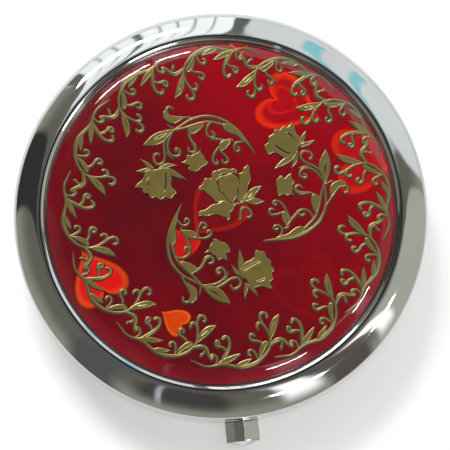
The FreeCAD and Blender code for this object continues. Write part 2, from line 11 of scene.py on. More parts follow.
import bpy
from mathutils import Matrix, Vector


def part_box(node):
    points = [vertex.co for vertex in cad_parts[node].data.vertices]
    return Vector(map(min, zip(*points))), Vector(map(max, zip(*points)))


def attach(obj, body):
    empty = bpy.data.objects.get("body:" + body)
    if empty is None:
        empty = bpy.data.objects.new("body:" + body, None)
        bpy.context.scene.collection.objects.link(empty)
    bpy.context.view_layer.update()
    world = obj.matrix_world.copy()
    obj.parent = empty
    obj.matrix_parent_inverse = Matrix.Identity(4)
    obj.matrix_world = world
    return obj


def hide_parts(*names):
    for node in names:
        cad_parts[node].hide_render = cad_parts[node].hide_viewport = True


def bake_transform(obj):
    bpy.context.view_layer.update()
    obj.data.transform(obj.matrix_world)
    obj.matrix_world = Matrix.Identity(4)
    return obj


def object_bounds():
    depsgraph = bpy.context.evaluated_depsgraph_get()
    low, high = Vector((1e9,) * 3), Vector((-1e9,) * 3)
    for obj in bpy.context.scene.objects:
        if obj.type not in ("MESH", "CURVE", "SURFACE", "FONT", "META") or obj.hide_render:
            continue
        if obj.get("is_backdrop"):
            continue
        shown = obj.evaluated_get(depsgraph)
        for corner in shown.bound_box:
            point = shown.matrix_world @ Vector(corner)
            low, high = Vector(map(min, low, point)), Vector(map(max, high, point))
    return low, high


MM = 0.001
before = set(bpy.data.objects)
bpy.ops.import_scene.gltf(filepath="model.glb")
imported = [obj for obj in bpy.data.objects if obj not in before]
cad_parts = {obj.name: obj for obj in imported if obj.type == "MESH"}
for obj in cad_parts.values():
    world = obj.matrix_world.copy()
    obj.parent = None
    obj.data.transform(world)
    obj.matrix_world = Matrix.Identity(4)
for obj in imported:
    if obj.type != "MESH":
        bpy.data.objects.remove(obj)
cad_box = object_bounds()
bpy.ops.object.select_all(action="DESELECT")

# %% [markdown]
# The camera comes first, because every later choice is judged through it.
# The compact is seen from almost straight above, a little from the button's side, through a long lens.
# A long lens from far off flattens the perspective, as a photograph of small goods has it. The small shifts
# slide the frame without turning the camera.

# %% Camera
CAMERA_TURN = -5.73
CAMERA_HEIGHT_ANGLE = 78.42
CAMERA_DISTANCE = 0.4
CASE_MIDDLE = Vector((0, 0, 0.005))
LENS_LENGTH = 188.1
FRAME_SHIFT = (0.0097, -0.0197)
tilt = math.radians(90 - CAMERA_HEIGHT_ANGLE)
turn = math.radians(CAMERA_TURN)
away = Vector((math.sin(turn) * math.sin(tilt), -math.cos(turn) * math.sin(tilt), math.cos(tilt)))
bpy.ops.object.camera_add(location=CASE_MIDDLE + away * CAMERA_DISTANCE, rotation=(tilt, 0, turn))
camera = bpy.context.object
camera.data.sensor_width = 36
camera.data.lens = LENS_LENGTH
camera.data.shift_x, camera.data.shift_y = FRAME_SHIFT
bpy.context.scene.camera = camera
bpy.context.scene.view_settings.view_transform = "Standard"
print("camera at", [round(x, 3) for x in camera.location])

# %% [markdown]
# Materials are node trees. A few helpers keep the cells short: they start a material, add a node and feed its
# sockets, and give the noises, soft steps and mixes of which every finish here is made.

# %% Material helpers
NOISE_LOW = 0.3
NOISE_HIGH = 0.7


def new_finish(name):
    """Start a material and return it with its main shader."""
    material = bpy.data.materials.new(name)
    material.use_nodes = True
    return material, material.node_tree.nodes["Principled BSDF"]


def feed(tree, value, socket):
    """Link a node's output to a socket, or set the socket where the value is a plain one."""
    if isinstance(value, bpy.types.NodeSocket):
        tree.links.new(value, socket)
    else:
        socket.default_value = value


def feed_all(tree, node, **sockets):
    """Feed sockets by their names, with underscores for spaces, or by their numbers, as in i0."""
    for key, value in sockets.items():
        by_number = key[0] == "i" and key[1:].isdigit()
        feed(tree, value, node.inputs[int(key[1:]) if by_number else key.replace("_", " ")])


def add_node(tree, kind, settings=None, **sockets):
    """Add a node, set its properties, feed its sockets and return it."""
    node = tree.nodes.new(kind)
    for key, value in (settings or {}).items():
        setattr(node, key, value)
    feed_all(tree, node, **sockets)
    return node


def math_node(tree, operation, *values):
    """Add a Math node with one, two or three values and return its result."""
    node = add_node(tree, "ShaderNodeMath", {"operation": operation})
    for socket, value in zip(node.inputs, values):
        feed(tree, value, socket)
    return node.outputs[0]


def object_place(tree):
    """Return the place of a point on the piece, in metres."""
    return add_node(tree, "ShaderNodeTexCoord").outputs["Object"]


def noise(tree, size, detail=3.0):
    """Return a grey noise whose patches are about size metres wide."""
    place = object_place(tree)
    return add_node(tree, "ShaderNodeTexNoise", Vector=place, Scale=1 / size, Detail=detail).outputs["Fac"]


def spread(tree, value, low, high):
    """Map a noise, whose middle part is used, to the range from low to high."""
    node = add_node(tree, "ShaderNodeMapRange", Value=value, To_Min=low, To_Max=high)
    feed_all(tree, node, From_Min=NOISE_LOW, From_Max=NOISE_HIGH)
    return node.outputs["Result"]


def bump(tree, shader, height, depth):
    """Let a height raise the surface by up to depth metres."""
    node = add_node(tree, "ShaderNodeBump", Height=height, Distance=depth, Strength=1.0)
    feed_all(tree, shader, Normal=node.outputs["Normal"])


def colour_between(tree, amount, first, second):
    """Return a mix of two colours; a plain colour is red, green and blue."""
    node = add_node(tree, "ShaderNodeMix", {"data_type": "RGBA"}, Factor=amount)
    for socket, value in ((node.inputs[6], first), (node.inputs[7], second)):
        feed(tree, value if isinstance(value, bpy.types.NodeSocket) else (*value, 1), socket)
    return node.outputs[2]


def soft_step(tree, value, low, high):
    """Rise smoothly from 0 at low to 1 at high, or fall where low is above high."""
    settings = {"interpolation_type": "SMOOTHSTEP"}
    node = add_node(tree, "ShaderNodeMapRange", settings, Value=value, From_Min=low, From_Max=high)
    return node.outputs["Result"]


def reach(tree):
    """Return how far a point is from the piece's upright middle line, in metres."""
    place = object_place(tree)
    flat = add_node(tree, "ShaderNodeVectorMath", {"operation": "MULTIPLY"}, i0=place, i1=(1, 1, 0))
    length = add_node(tree, "ShaderNodeVectorMath", {"operation": "LENGTH"}, i0=flat.outputs["Vector"])
    return length.outputs["Value"]


def dress(finish, *names):
    """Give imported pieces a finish."""
    for name in names:
        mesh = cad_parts[name].data
        mesh.materials.clear()
        mesh.materials.append(finish)
    print(finish.name, "on", ", ".join(names))


print("helpers ready")

# %% [markdown]
# The stage is a plain pale floor. Seen by the camera, or mirrored in metal and glass, the paper is lifted a
# little towards white, while its own shading keeps the soft shadow of the case. Away from the case a painted
# falloff of light darkens it gently, as paper darkens outside a pool of light, and the polished rim stands out
# against that.

# %% Floor
PAPER_LIFT = 0.36
PAPER_TONES = ((0.78, 0.78, 0.78), (0.8, 0.8, 0.8))
PAINTED_FALLOFF_TONE = (0.55, 0.55, 0.55)
POOL_EDGE = (0.046, 0.2)
bpy.ops.mesh.primitive_plane_add(size=8)
floor = bpy.context.object
floor.name = "floor"
floor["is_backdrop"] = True
paper, paper_shader = new_finish("pale_paper")
tree = paper.node_tree
paper_tone = spread(tree, noise(tree, 0.4), 0.0, 1.0)
paper_colour = colour_between(tree, paper_tone, *PAPER_TONES)
# Painted falloff of light: the paper is painted darker away from the case, outside the pool of light.
painted_falloff = soft_step(tree, reach(tree), *POOL_EDGE)
paper_colour = colour_between(tree, painted_falloff, paper_colour, PAINTED_FALLOFF_TONE)
feed_all(tree, paper_shader, Base_Color=paper_colour, Roughness=0.8)
ray = add_node(tree, "ShaderNodeLightPath").outputs
seen = math_node(tree, "MAXIMUM", ray["Is Camera Ray"], ray["Is Glossy Ray"])
seen = math_node(tree, "MAXIMUM", seen, ray["Is Transmission Ray"])
lift = math_node(tree, "MULTIPLY_ADD", painted_falloff, -0.5 * PAPER_LIFT, PAPER_LIFT)
lift = math_node(tree, "MULTIPLY", seen, lift)
feed_all(tree, paper_shader, Emission_Color=(1, 1, 1, 1), Emission_Strength=lift)
floor.data.materials.append(paper)
print("floor made")

# %% [markdown]
# Polished metal has no colour of its own: it shows what stands round it. So the world is a quiet room of many
# tones: a pale wall with two blue-green stripes under an arch on the right, a window with bars at the back,
# olive grey elsewhere, a dark doorway on the left, and on the button's side a few upright streaks of light.
# Each tone fills a sector of the compass, found from the direction's angle round a pole, and all fade to a
# dim ceiling. The pole leans a little to the back, to the place that the flat of the clear dome mirrors.
# The ceiling has a dark patch there, which keeps the red deep.

# %% Room
POLE_LEAN = 7.0
ROOM_STRENGTH = 0.9
ARCH_POWER = 4.0
ARCH_EDGE = (1.12, 0.92)
room = bpy.data.worlds.new("room")
bpy.context.scene.world = room
room.use_nodes = True
tree = room.node_tree
direction = add_node(tree, "ShaderNodeTexCoord").outputs["Generated"]
leaning = add_node(tree, "ShaderNodeVectorRotate", {"rotation_type": "X_AXIS"}, Vector=direction)
feed_all(tree, leaning, Angle=math.radians(POLE_LEAN))
compass = add_node(tree, "ShaderNodeSeparateXYZ", Vector=leaning.outputs["Vector"]).outputs
bearing = math_node(tree, "ARCTAN2", compass["Y"], compass["X"])


def off_bearing(middle):
    """Return the angle from a bearing given in degrees, between minus and plus half a turn."""
    off = math_node(tree, "SUBTRACT", bearing, math.radians(middle))
    return math_node(tree, "WRAP", off, math.pi, -math.pi)


def sector(middle, half, soft):
    """Return 1 within half a width of a bearing, fading to 0 over soft more; all in degrees."""
    off = math_node(tree, "ABSOLUTE", off_bearing(middle))
    return soft_step(tree, off, math.radians(half + soft), math.radians(half))


def under_arch(middle, half, height):
    """Return 1 under a broad arch on the horizon, half a width to each side of a bearing in degrees."""
    off = off_bearing(middle)
    across = math_node(tree, "DIVIDE", off, math.radians(half))
    across = math_node(tree, "POWER", across, ARCH_POWER)
    up = math_node(tree, "DIVIDE", compass["Z"], height)
    up = math_node(tree, "POWER", up, ARCH_POWER)
    return soft_step(tree, math_node(tree, "ADD", across, up), *ARCH_EDGE)


def from_height(low, high):
    """Return 0 below a low height on the room's walls and 1 above a high one."""
    return soft_step(tree, compass["Z"], low, high)


HIGH_GREY = (0.2, 0.2, 0.158)
LOW_GREY = (0.42, 0.43, 0.36)
GREY_RUN = (0.1, 0.85)
ARCH = (70.5, 55.5, 1.02)
ARCH_WALL = (1.08, 1.15, 1.12)
FOOT_FADE = 0.06
WALLS = [
    # bearing of the middle, half width and soft edge in degrees, lowest height, tone
    (52.5, 9.0, 1.0, 0.34, (0.4, 0.95, 1.02)),
    (52.0, 3.5, 2.0, 0.34, (1.1, 1.1, 1.1)),
    (101.5, 24.0, 1.0, -1.0, (0.2, 0.22, 0.19)),
    (92.2, 11.3, 0.8, -1.0, (1.62, 1.7, 1.68)),
    (114.0, 7.5, 0.8, -1.0, (1.5, 1.58, 1.56)),
    (347.0, 22.5, 2.0, -1.0, (0.62, 0.64, 0.55)),
    (152.0, 10.0, 3.0, -1.0, (0.05, 0.052, 0.05)),
    (219.0, 5.0, 9.0, -1.0, (0.14, 0.145, 0.15)),
    (311.0, 6.0, 4.0, -1.0, (0.15, 0.13, 0.12)),
]
WINDOW_BARS = [85.5, 90.0, 94.5, 99.0, 111.0, 116.0]
BAR_HALF = 0.25
BAR_SOFT = 0.4
BAR_TONE = (0.75, 0.8, 0.78)
STREAKS = [
    # bearing of the middle, half width and soft edge in degrees, tone; these show most high up
    (252.0, 13.0, 7.0, (0.09, 0.085, 0.08)),
    (243.5, 0.7, 1.2, (0.7, 0.7, 0.72)),
    (293.0, 3.5, 6.0, (1.9, 1.9, 1.9)),
    (328.0, 2.2, 3.0, (2.1, 2.1, 2.1)),
]
STREAK_RUN = (0.0, 0.75)
DIM_CEILING = (0.15, 0.15, 0.145)
CEILING_EDGE = (0.965, 0.999)
DARK_PATCH = (0.03, 0.03, 0.03)
PATCH_PLACE = (0.02, 0.2, 0.98)
PATCH_EDGE = (0.13, 0.05)
tone = colour_between(tree, from_height(*GREY_RUN), LOW_GREY, HIGH_GREY)
tone = colour_between(tree, under_arch(*ARCH), tone, ARCH_WALL)
for middle, half, soft, foot, wall in WALLS:
    standing = from_height(foot, foot + FOOT_FADE)
    amount = math_node(tree, "MULTIPLY", sector(middle, half, soft), standing)
    tone = colour_between(tree, amount, tone, wall)
for middle in WINDOW_BARS:
    tone = colour_between(tree, sector(middle, BAR_HALF, BAR_SOFT), tone, BAR_TONE)
high_up = from_height(*STREAK_RUN)
for middle, half, soft, painted_glow in STREAKS:
    amount = math_node(tree, "MULTIPLY", sector(middle, half, soft), high_up)
    tone = colour_between(tree, amount, tone, painted_glow)
tone = colour_between(tree, from_height(*CEILING_EDGE), tone, DIM_CEILING)
off_patch = add_node(tree, "ShaderNodeVectorMath", {"operation": "DISTANCE"}, i0=direction, i1=PATCH_PLACE)
in_patch = soft_step(tree, off_patch.outputs["Value"], *PATCH_EDGE)
tone = colour_between(tree, in_patch, tone, DARK_PATCH)
feed_all(tree, tree.nodes["Background"], Color=tone, Strength=ROOM_STRENGTH)
print("walls:", len(WALLS), "streaks:", len(STREAKS))

# %% [markdown]
# The window's light comes from three lamps behind the hinge, which metal and glass do not mirror, because the
# room's own window is what they show. In front of each hangs a strip of bright sky, which the clear dome
# throws back as a white arc. Two small lamps on the button's side are there only to be mirrored.


# %% Lamps
def lamp(name, place, aim, width, height, radiance):
    """Hang a rectangular soft lamp that faces a point; radiance is how bright its face looks."""
    place = Vector(place)
    facing = (Vector(aim) - place).to_track_quat("-Z", "Y").to_euler()
    bpy.ops.object.light_add(type="AREA", location=place, rotation=facing)
    light = bpy.context.object
    light.name = name
    light.data.shape = "RECTANGLE"
    light.data.size = width
    light.data.size_y = height
    light.data.energy = radiance * math.pi * width * height
    return light


PANES = 3
FIRST_PANE = -0.42
PANE_STEP = 0.16
PANE_LEVEL = 0.66
PANE_DISTANCE = 0.85
PANE_SIZE = (0.14, 0.9)
PANE_RADIANCE = 2.2
SKY_DISTANCE = 0.8
SKY_SIZE = (0.13, 0.16)
SKY_RADIANCE = 34.0
AIM_SHARE = 0.4
AIM_LEVEL = 0.02
MIRRORED_LAMPS = [
    # name, place and width in metres
    ("front_lamp", (0.2, -0.41, 0.715), 0.17),
    ("corner_lamp", (0.477, -0.203, 0.675), 0.12),
]
MIRRORED_HEIGHT = 0.05
MIRRORED_RADIANCE = 62.0
for pane in range(PANES):
    across = FIRST_PANE + PANE_STEP * pane
    aim = (across * AIM_SHARE, 0, AIM_LEVEL)
    place = (across, PANE_DISTANCE, PANE_LEVEL)
    light = lamp(f"window_pane_{pane + 1}", place, aim, *PANE_SIZE, PANE_RADIANCE)
    light.visible_glossy = False
    place = (across, SKY_DISTANCE, PANE_LEVEL)
    lamp(f"sky_strip_{pane + 1}", place, aim, *SKY_SIZE, SKY_RADIANCE)
for name, place, width in MIRRORED_LAMPS:
    light = lamp(name, place, (0, 0, 0), width, MIRRORED_HEIGHT, MIRRORED_RADIANCE)
    light.visible_diffuse = False

# %% [markdown]
# The case is cast metal, plated and polished. Plating is bright and almost without roughness, but never quite
# flat: polishing leaves slow waves of a few millimetres that bend reflections, and handling leaves faint
# smudges where the gloss is a little softer. Both are noises on the piece's own coordinates.

# %% Polished case finish
PLATING_TONES = ((0.63, 0.635, 0.635), (0.59, 0.595, 0.595))
polished, shader = new_finish("polished_plating")
tree = polished.node_tree
smudge = spread(tree, noise(tree, 0.009, 4.0), 0.0, 1.0)
plating = colour_between(tree, smudge, *PLATING_TONES)
dulled = spread(tree, noise(tree, 0.006, 5.0), 0.02, 0.07)
feed_all(tree, shader, Metallic=1.0, Base_Color=plating, Roughness=dulled)
bump(tree, shader, noise(tree, 0.006, 1.0), 0.00004)
print("finish:", polished.name)

# %% [markdown]
# Both dishes are turned shapes, so they are drawn as a profile and swept round. A ring of edges is added,
# then extruded again and again, each new ring being moved and resized to the next corner of the profile.
# Arcs with many corners give the smooth bezel, which the eye reads from what it mirrors.

# %% Turning helpers
TURN_STEPS = 192
SMOOTH_ANGLE = 30


def select_only(piece):
    """Make one piece the only selected one and the active one."""
    bpy.ops.object.select_all(action="DESELECT")
    piece.select_set(True)
    bpy.context.view_layer.objects.active = piece


def apply_moves():
    """Make the selected piece's place, turn and scale part of its mesh."""
    bpy.ops.object.transform_apply(location=True, rotation=True, scale=True)


def arc(centre, radius, start, end, steps):
    """Return the corners of an arc in a profile; angles are degrees up from the outward direction."""
    corners = []
    for step in range(steps + 1):
        angle = math.radians(start + (end - start) * step / steps)
        corners.append((centre[0] + radius * math.cos(angle), centre[1] + radius * math.sin(angle)))
    return corners


def turned(name, profile):
    """Sweep a profile of (radius, height) corners, in millimetres, into a closed turned piece."""
    radius, height = profile[0]
    bpy.ops.object.select_all(action="DESELECT")
    bpy.ops.mesh.primitive_circle_add(
        vertices=TURN_STEPS, radius=radius * MM, location=(0, 0, height * MM), fill_type="NGON"
    )
    piece = bpy.context.object
    piece.name = name
    apply_moves()
    bpy.ops.object.mode_set(mode="EDIT")
    bpy.ops.mesh.select_mode(type="EDGE")
    bpy.ops.mesh.select_all(action="SELECT")
    for next_radius, next_height in profile[1:]:
        bpy.ops.mesh.extrude_edges_indiv()
        share = next_radius / radius
        bpy.ops.transform.resize(value=(share, share, 1), center_override=(0, 0, 0))
        bpy.ops.transform.translate(value=(0, 0, (next_height - height) * MM))
        radius, height = next_radius, next_height
    bpy.ops.mesh.edge_face_add()
    bpy.ops.mesh.select_all(action="SELECT")
    bpy.ops.mesh.normals_make_consistent(inside=False)
    bpy.ops.object.mode_set(mode="OBJECT")
    return piece


def carve(piece, cutter):
    """Cut one piece's form out of another and throw the cutter away."""
    select_only(piece)
    modifier = piece.modifiers.new("carve", "BOOLEAN")
    modifier.operation = "DIFFERENCE"
    modifier.solver = "EXACT"
    modifier.object = cutter
    bpy.ops.object.modifier_apply(modifier=modifier.name)
    bpy.data.objects.remove(cutter)


def settle(piece, body, finish, stands_for=(), smooth_angle=SMOOTH_ANGLE):
    """Smooth a finished piece, give it its finish and let it ride on its body."""
    select_only(piece)
    bpy.ops.object.shade_smooth_by_angle(angle=math.radians(smooth_angle))
    flat_faces_first = piece.modifiers.new("weighted_normals", "WEIGHTED_NORMAL")
    flat_faces_first.keep_sharp = True
    bpy.ops.object.modifier_apply(modifier=flat_faces_first.name)
    piece.data.materials.clear()
    piece.data.materials.append(finish)
    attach(piece, body)
    if stands_for:
        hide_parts(*stands_for)
    print(piece.name, "faces:", len(piece.data.polygons))


print("turning helpers ready")

# %% [markdown]
# The hinge needs room. A box is cut from both rims for its knuckles, and a wedge whose thin edge lies on the
# hinge's axis is cut from both, so that the open lid has somewhere to swing and a flat to stop on.

# %% Hinge room
HINGE_AXIS = (33.6, 5.0)
STOP_ANGLE = 114
NOTCH_HALF = 6.3
NOTCH_FRONT = 32.0
NOTCH_BACK = 37.0
WEDGE_HALF = 36
WEDGE_DEPTH = 2.5
THIN_EDGE = 0.05


def box_cutter(low, high):
    """Add a box between two corners, in millimetres."""
    bpy.ops.object.select_all(action="DESELECT")
    middle = [(a + b) / 2 * MM for a, b in zip(low, high)]
    size = [(b - a) * MM for a, b in zip(low, high)]
    bpy.ops.mesh.primitive_cube_add(size=1, location=middle, scale=size)
    apply_moves()
    return bpy.context.object


def notch_cutter(bottom, top):
    """Add the box that makes room for the knuckles, between two heights in millimetres."""
    return box_cutter((-NOTCH_HALF, NOTCH_FRONT, bottom), (NOTCH_HALF, NOTCH_BACK, top))


def wedge_cutter(up):
    """Add the wedge behind the hinge's axis; up is 1 for the lid's side and -1 for the base's."""
    along, level = HINGE_AXIS
    far = along + WEDGE_DEPTH
    rise = (far - along) * math.tan(math.radians(STOP_ANGLE / 2))
    wedge = box_cutter((-WEDGE_HALF, along, level - THIN_EDGE), (WEDGE_HALF, far, level + THIN_EDGE))
    bpy.ops.object.mode_set(mode="EDIT")
    bpy.ops.mesh.select_mode(type="VERT")
    bpy.ops.mesh.select_all(action="DESELECT")
    bpy.ops.object.mode_set(mode="OBJECT")
    for vertex in wedge.data.vertices:
        vertex.select = vertex.co.y > (along + 1) * MM and (vertex.co.z - level * MM) * up > 0
    bpy.ops.object.mode_set(mode="EDIT")
    bpy.ops.transform.translate(value=(0, 0, up * rise * MM))
    bpy.ops.object.mode_set(mode="OBJECT")
    return wedge


print("hinge axis at y, z =", HINGE_AXIS, "mm")

# %% [markdown]
# Both dishes share one edge: a broad bezel that curves down to fifty degrees, a small round corner, and an
# upright wall. The two arcs have to touch without a crease, so the angle at which they meet is worked out.

# %% Edge of both dishes
CROWN_RADIUS = 30.6
CASE_RADIUS = 34.99
EDGE_TURN = 50
CORNER = 0.6
BEZEL_STEPS = 36
CORNER_STEPS = 8


def rounded_edge(face, inward):
    """Return the profile from the flat face over the broad bezel and a small corner to the upright wall."""
    bend = (CASE_RADIUS - CROWN_RADIUS) / math.sin(math.radians(EDGE_TURN))
    aside = CASE_RADIUS - CORNER - CROWN_RADIUS
    meet = math.degrees(math.acos(aside / (bend - CORNER)))
    drop = bend - (bend - CORNER) * math.sin(math.radians(meet))
    corners = arc((CROWN_RADIUS, bend), bend, -90, -meet, BEZEL_STEPS)
    corners += arc((CROWN_RADIUS + aside, drop), CORNER, -meet, 0, CORNER_STEPS)[1:]
    return [(radius, face + inward * height) for radius, height in corners]


print("bezel ends at", [round(x, 3) for x in rounded_edge(0.0, 1)[-1]])

# %% [markdown]
# The lid is one casting: a rolled inner lip, the bezel, a thin rim, and the flat floor of the recess that
# takes the decoration. The profile runs from the recess over the lip and the bezel to the rim, and back along
# the hidden inside.

# %% Lid
LID_FACE = 10.0
LIP_RADIUS = 0.7
LIP_STEPS = 10
lid_profile = [(8.0, 9.0), (29.62, 9.0), (29.64, 9.3)]
lid_profile += arc((30.34, 9.3), LIP_RADIUS, 180, 90, LIP_STEPS)
lid_profile += rounded_edge(LID_FACE, -1)
lid_profile += [(CASE_RADIUS, 5.22), (34.93, 5.13), (34.85, 5.1), (34.4, 5.1), (33.287, 8.4), (8.0, 8.4)]
lid = turned("polished_lid", lid_profile)
carve(lid, notch_cutter(4.0, 6.6))
carve(lid, wedge_cutter(1))
settle(lid, "lid", polished, ["lid_shell"])

# %% [markdown]
# The base is a like dish turned over. A six-sided window is cut in its front wall for the button. Its cutter
# starts as a six-sided prism, whose corners are then set on the window's flat section.

# %% Base
BUTTON_LEVEL = 2.65
WINDOW_BACK = -30.5
WINDOW_FRONT = -37.0
WINDOW_SECTION = [(3.03, 0), (1.865, 1.53), (-1.865, 1.53), (-3.03, 0), (-1.865, -1.53), (1.865, -1.53)]


def flat_bar(name, back, front, section):
    """Add a bar along Y whose section is a list of (across, up) corners round its middle, in millimetres."""
    sides = len(section)
    bpy.ops.object.select_all(action="DESELECT")
    bpy.ops.mesh.primitive_cylinder_add(
        vertices=sides, radius=1, depth=1, location=(0, 0, 0), rotation=(math.radians(90), 0, 0)
    )
    bar = bpy.context.object
    bar.name = name
    apply_moves()
    for vertex in bar.data.vertices:
        step = math.atan2(vertex.co.z, vertex.co.x) / (2 * math.pi) * sides
        across, up = section[math.floor(step + 0.25) % sides]
        along = back if vertex.co.y > 0 else front
        vertex.co = (across * MM, along * MM, (BUTTON_LEVEL + up) * MM)
    return bar


base_profile = [(8.0, 0.6), (30.6, 0.6), (33.287, 1.713), (34.4, 4.9), (34.85, 4.9), (34.93, 4.87)]
base_profile += [(CASE_RADIUS, 4.78)]
base_profile += reversed(rounded_edge(0.0, 1))
base_profile += [(8.0, 0.0)]
base = turned("polished_base", base_profile)
carve(base, notch_cutter(3.4, 6.0))
carve(base, wedge_cutter(-1))
carve(base, flat_bar("window_cutter", WINDOW_BACK, WINDOW_FRONT, WINDOW_SECTION))
settle(base, "base", polished, ["base_shell"])

# %% [markdown]
# The button is a flattened bar with a low ridge above and below and a shallow pointed end, all polished. A
# fine bevel breaks its edges, because a real edge is never perfectly sharp and the bevel catches the light.

# %% Button
BUTTON_BACK = -33.45
BUTTON_FRONT = -38.35
POINT_LENGTH = 0.8
POINT_SHARE = 0.12
EDGE_BREAK = 0.14
BREAK_ANGLE = 10
BUTTON_SMOOTH = 12
BUTTON_SECTION = [(2.9, 0), (1.45, 1.0), (0.2, 1.4), (-1.3, 1.0)]
BUTTON_SECTION += [(-x, -z) for x, z in BUTTON_SECTION]
button = flat_bar("faceted_button", BUTTON_BACK, BUTTON_FRONT, BUTTON_SECTION)
bpy.context.view_layer.objects.active = button
bpy.ops.object.mode_set(mode="EDIT")
bpy.ops.mesh.select_mode(type="FACE")
bpy.ops.mesh.select_all(action="DESELECT")
bpy.ops.object.mode_set(mode="OBJECT")
for face in button.data.polygons:
    face.select = face.normal.y < -0.9
bpy.ops.object.mode_set(mode="EDIT")
bpy.ops.mesh.extrude_region_move(TRANSFORM_OT_translate={"value": (0, -POINT_LENGTH * MM, 0)})
bpy.ops.transform.resize(value=(POINT_SHARE, 1, POINT_SHARE), center_override=(0, 0, BUTTON_LEVEL * MM))
bpy.ops.mesh.select_all(action="SELECT")
bpy.ops.mesh.normals_make_consistent(inside=False)
bpy.ops.object.mode_set(mode="OBJECT")
rounding = button.modifiers.new("broken_edges", "BEVEL")
rounding.width = EDGE_BREAK * MM
rounding.segments = 3
rounding.limit_method = "ANGLE"
rounding.angle_limit = math.radians(BREAK_ANGLE)
bpy.ops.object.modifier_apply(modifier=rounding.name)
settle(button, "button", polished, ["push_button"], smooth_angle=BUTTON_SMOOTH)

# %% [markdown]
# The clear dome is resin poured to the edge of the foil. Liquid resin holds back at the edge and sets as a
# rounded shoulder round an almost flat top. It neither tints nor blurs what lies below, so the shader lets
# light straight through and only mirrors the room, more so at a slant, as the Fresnel node says. From inside,
# that node would shut in all light at a slant, so the gloss is kept to the outside of the surface.

# %% Resin dome
RESIN_IOR = 1.5
RESIN_TINT = (0.98, 0.97, 0.97, 1)
RESIN_ROUGHNESS = 0.02
resin, shader = new_finish("clear_resin")
tree = resin.node_tree
gloss_share = add_node(tree, "ShaderNodeFresnel", IOR=RESIN_IOR).outputs["Fac"]
outside = math_node(tree, "SUBTRACT", 1.0, add_node(tree, "ShaderNodeNewGeometry").outputs["Backfacing"])
gloss_share = math_node(tree, "MULTIPLY", gloss_share, outside)
clear = add_node(tree, "ShaderNodeBsdfTransparent", Color=RESIN_TINT).outputs["BSDF"]
gloss = add_node(tree, "ShaderNodeBsdfGlossy", Color=(1, 1, 1, 1), Roughness=RESIN_ROUGHNESS)
ripple = add_node(tree, "ShaderNodeBump", Height=noise(tree, 0.008, 1.0), Distance=0.00002)
feed_all(tree, gloss, Normal=ripple.outputs["Normal"])
skin = add_node(tree, "ShaderNodeMixShader", i0=gloss_share, i1=clear, i2=gloss.outputs["BSDF"])
feed_all(tree, tree.nodes["Material Output"], Surface=skin.outputs["Shader"])
tree.nodes.remove(shader)

DOME_RADIUS = 29.3
FOIL_TOP = 9.15
EDGE_WIDTH = 2.2
EDGE_HEIGHT = 0.85
EDGE_FOOT = 0.28
EDGE_STEPS = 28
dome_profile = [(6.0, 10.3), (20.0, 10.29)]
for step in range(EDGE_STEPS + 1):
    share = step / EDGE_STEPS
    drop = EDGE_HEIGHT * share ** 2
    dome_profile.append((DOME_RADIUS - EDGE_WIDTH * (1 - share), FOIL_TOP + EDGE_FOOT + EDGE_HEIGHT - drop))
dome_profile += [(29.28, 9.155), (6.0, 9.155)]
dome = turned("resin_dome_clear", dome_profile)
settle(dome, "lid", resin, ["resin_dome"])

# %% [markdown]
# Under the resin lies red foil with a pattern of hearts of several sizes, and their flashes of light are
# painted highlights in its colour.
# A heart is a circle whose height is lifted by the root of how far a point is from the middle line, so one
# small group of nodes can draw any of them: it gives 0 at a heart's middle and 1 on its outline.

# %% Heart group
HEART_SQUAT = 1.2
heart = bpy.data.node_groups.new("heart_level", "ShaderNodeTree")
heart.interface.new_socket("Place", in_out="INPUT", socket_type="NodeSocketVector")
heart.interface.new_socket("Level", in_out="OUTPUT", socket_type="NodeSocketFloat")
inlet = heart.nodes.new("NodeGroupInput")
outlet = heart.nodes.new("NodeGroupOutput")
parts = add_node(heart, "ShaderNodeSeparateXYZ", Vector=inlet.outputs["Place"])
aside = math_node(heart, "ABSOLUTE", parts.outputs["X"])
lifted = math_node(heart, "MULTIPLY", parts.outputs["Y"], HEART_SQUAT)
lifted = math_node(heart, "SUBTRACT", lifted, math_node(heart, "SQRT", aside))
squares = [math_node(heart, "POWER", aside, 2.0), math_node(heart, "MULTIPLY", lifted, lifted)]
heart.links.new(math_node(heart, "SQRT", math_node(heart, "ADD", *squares)), outlet.inputs["Level"])
print("heart group nodes:", len(heart.nodes))
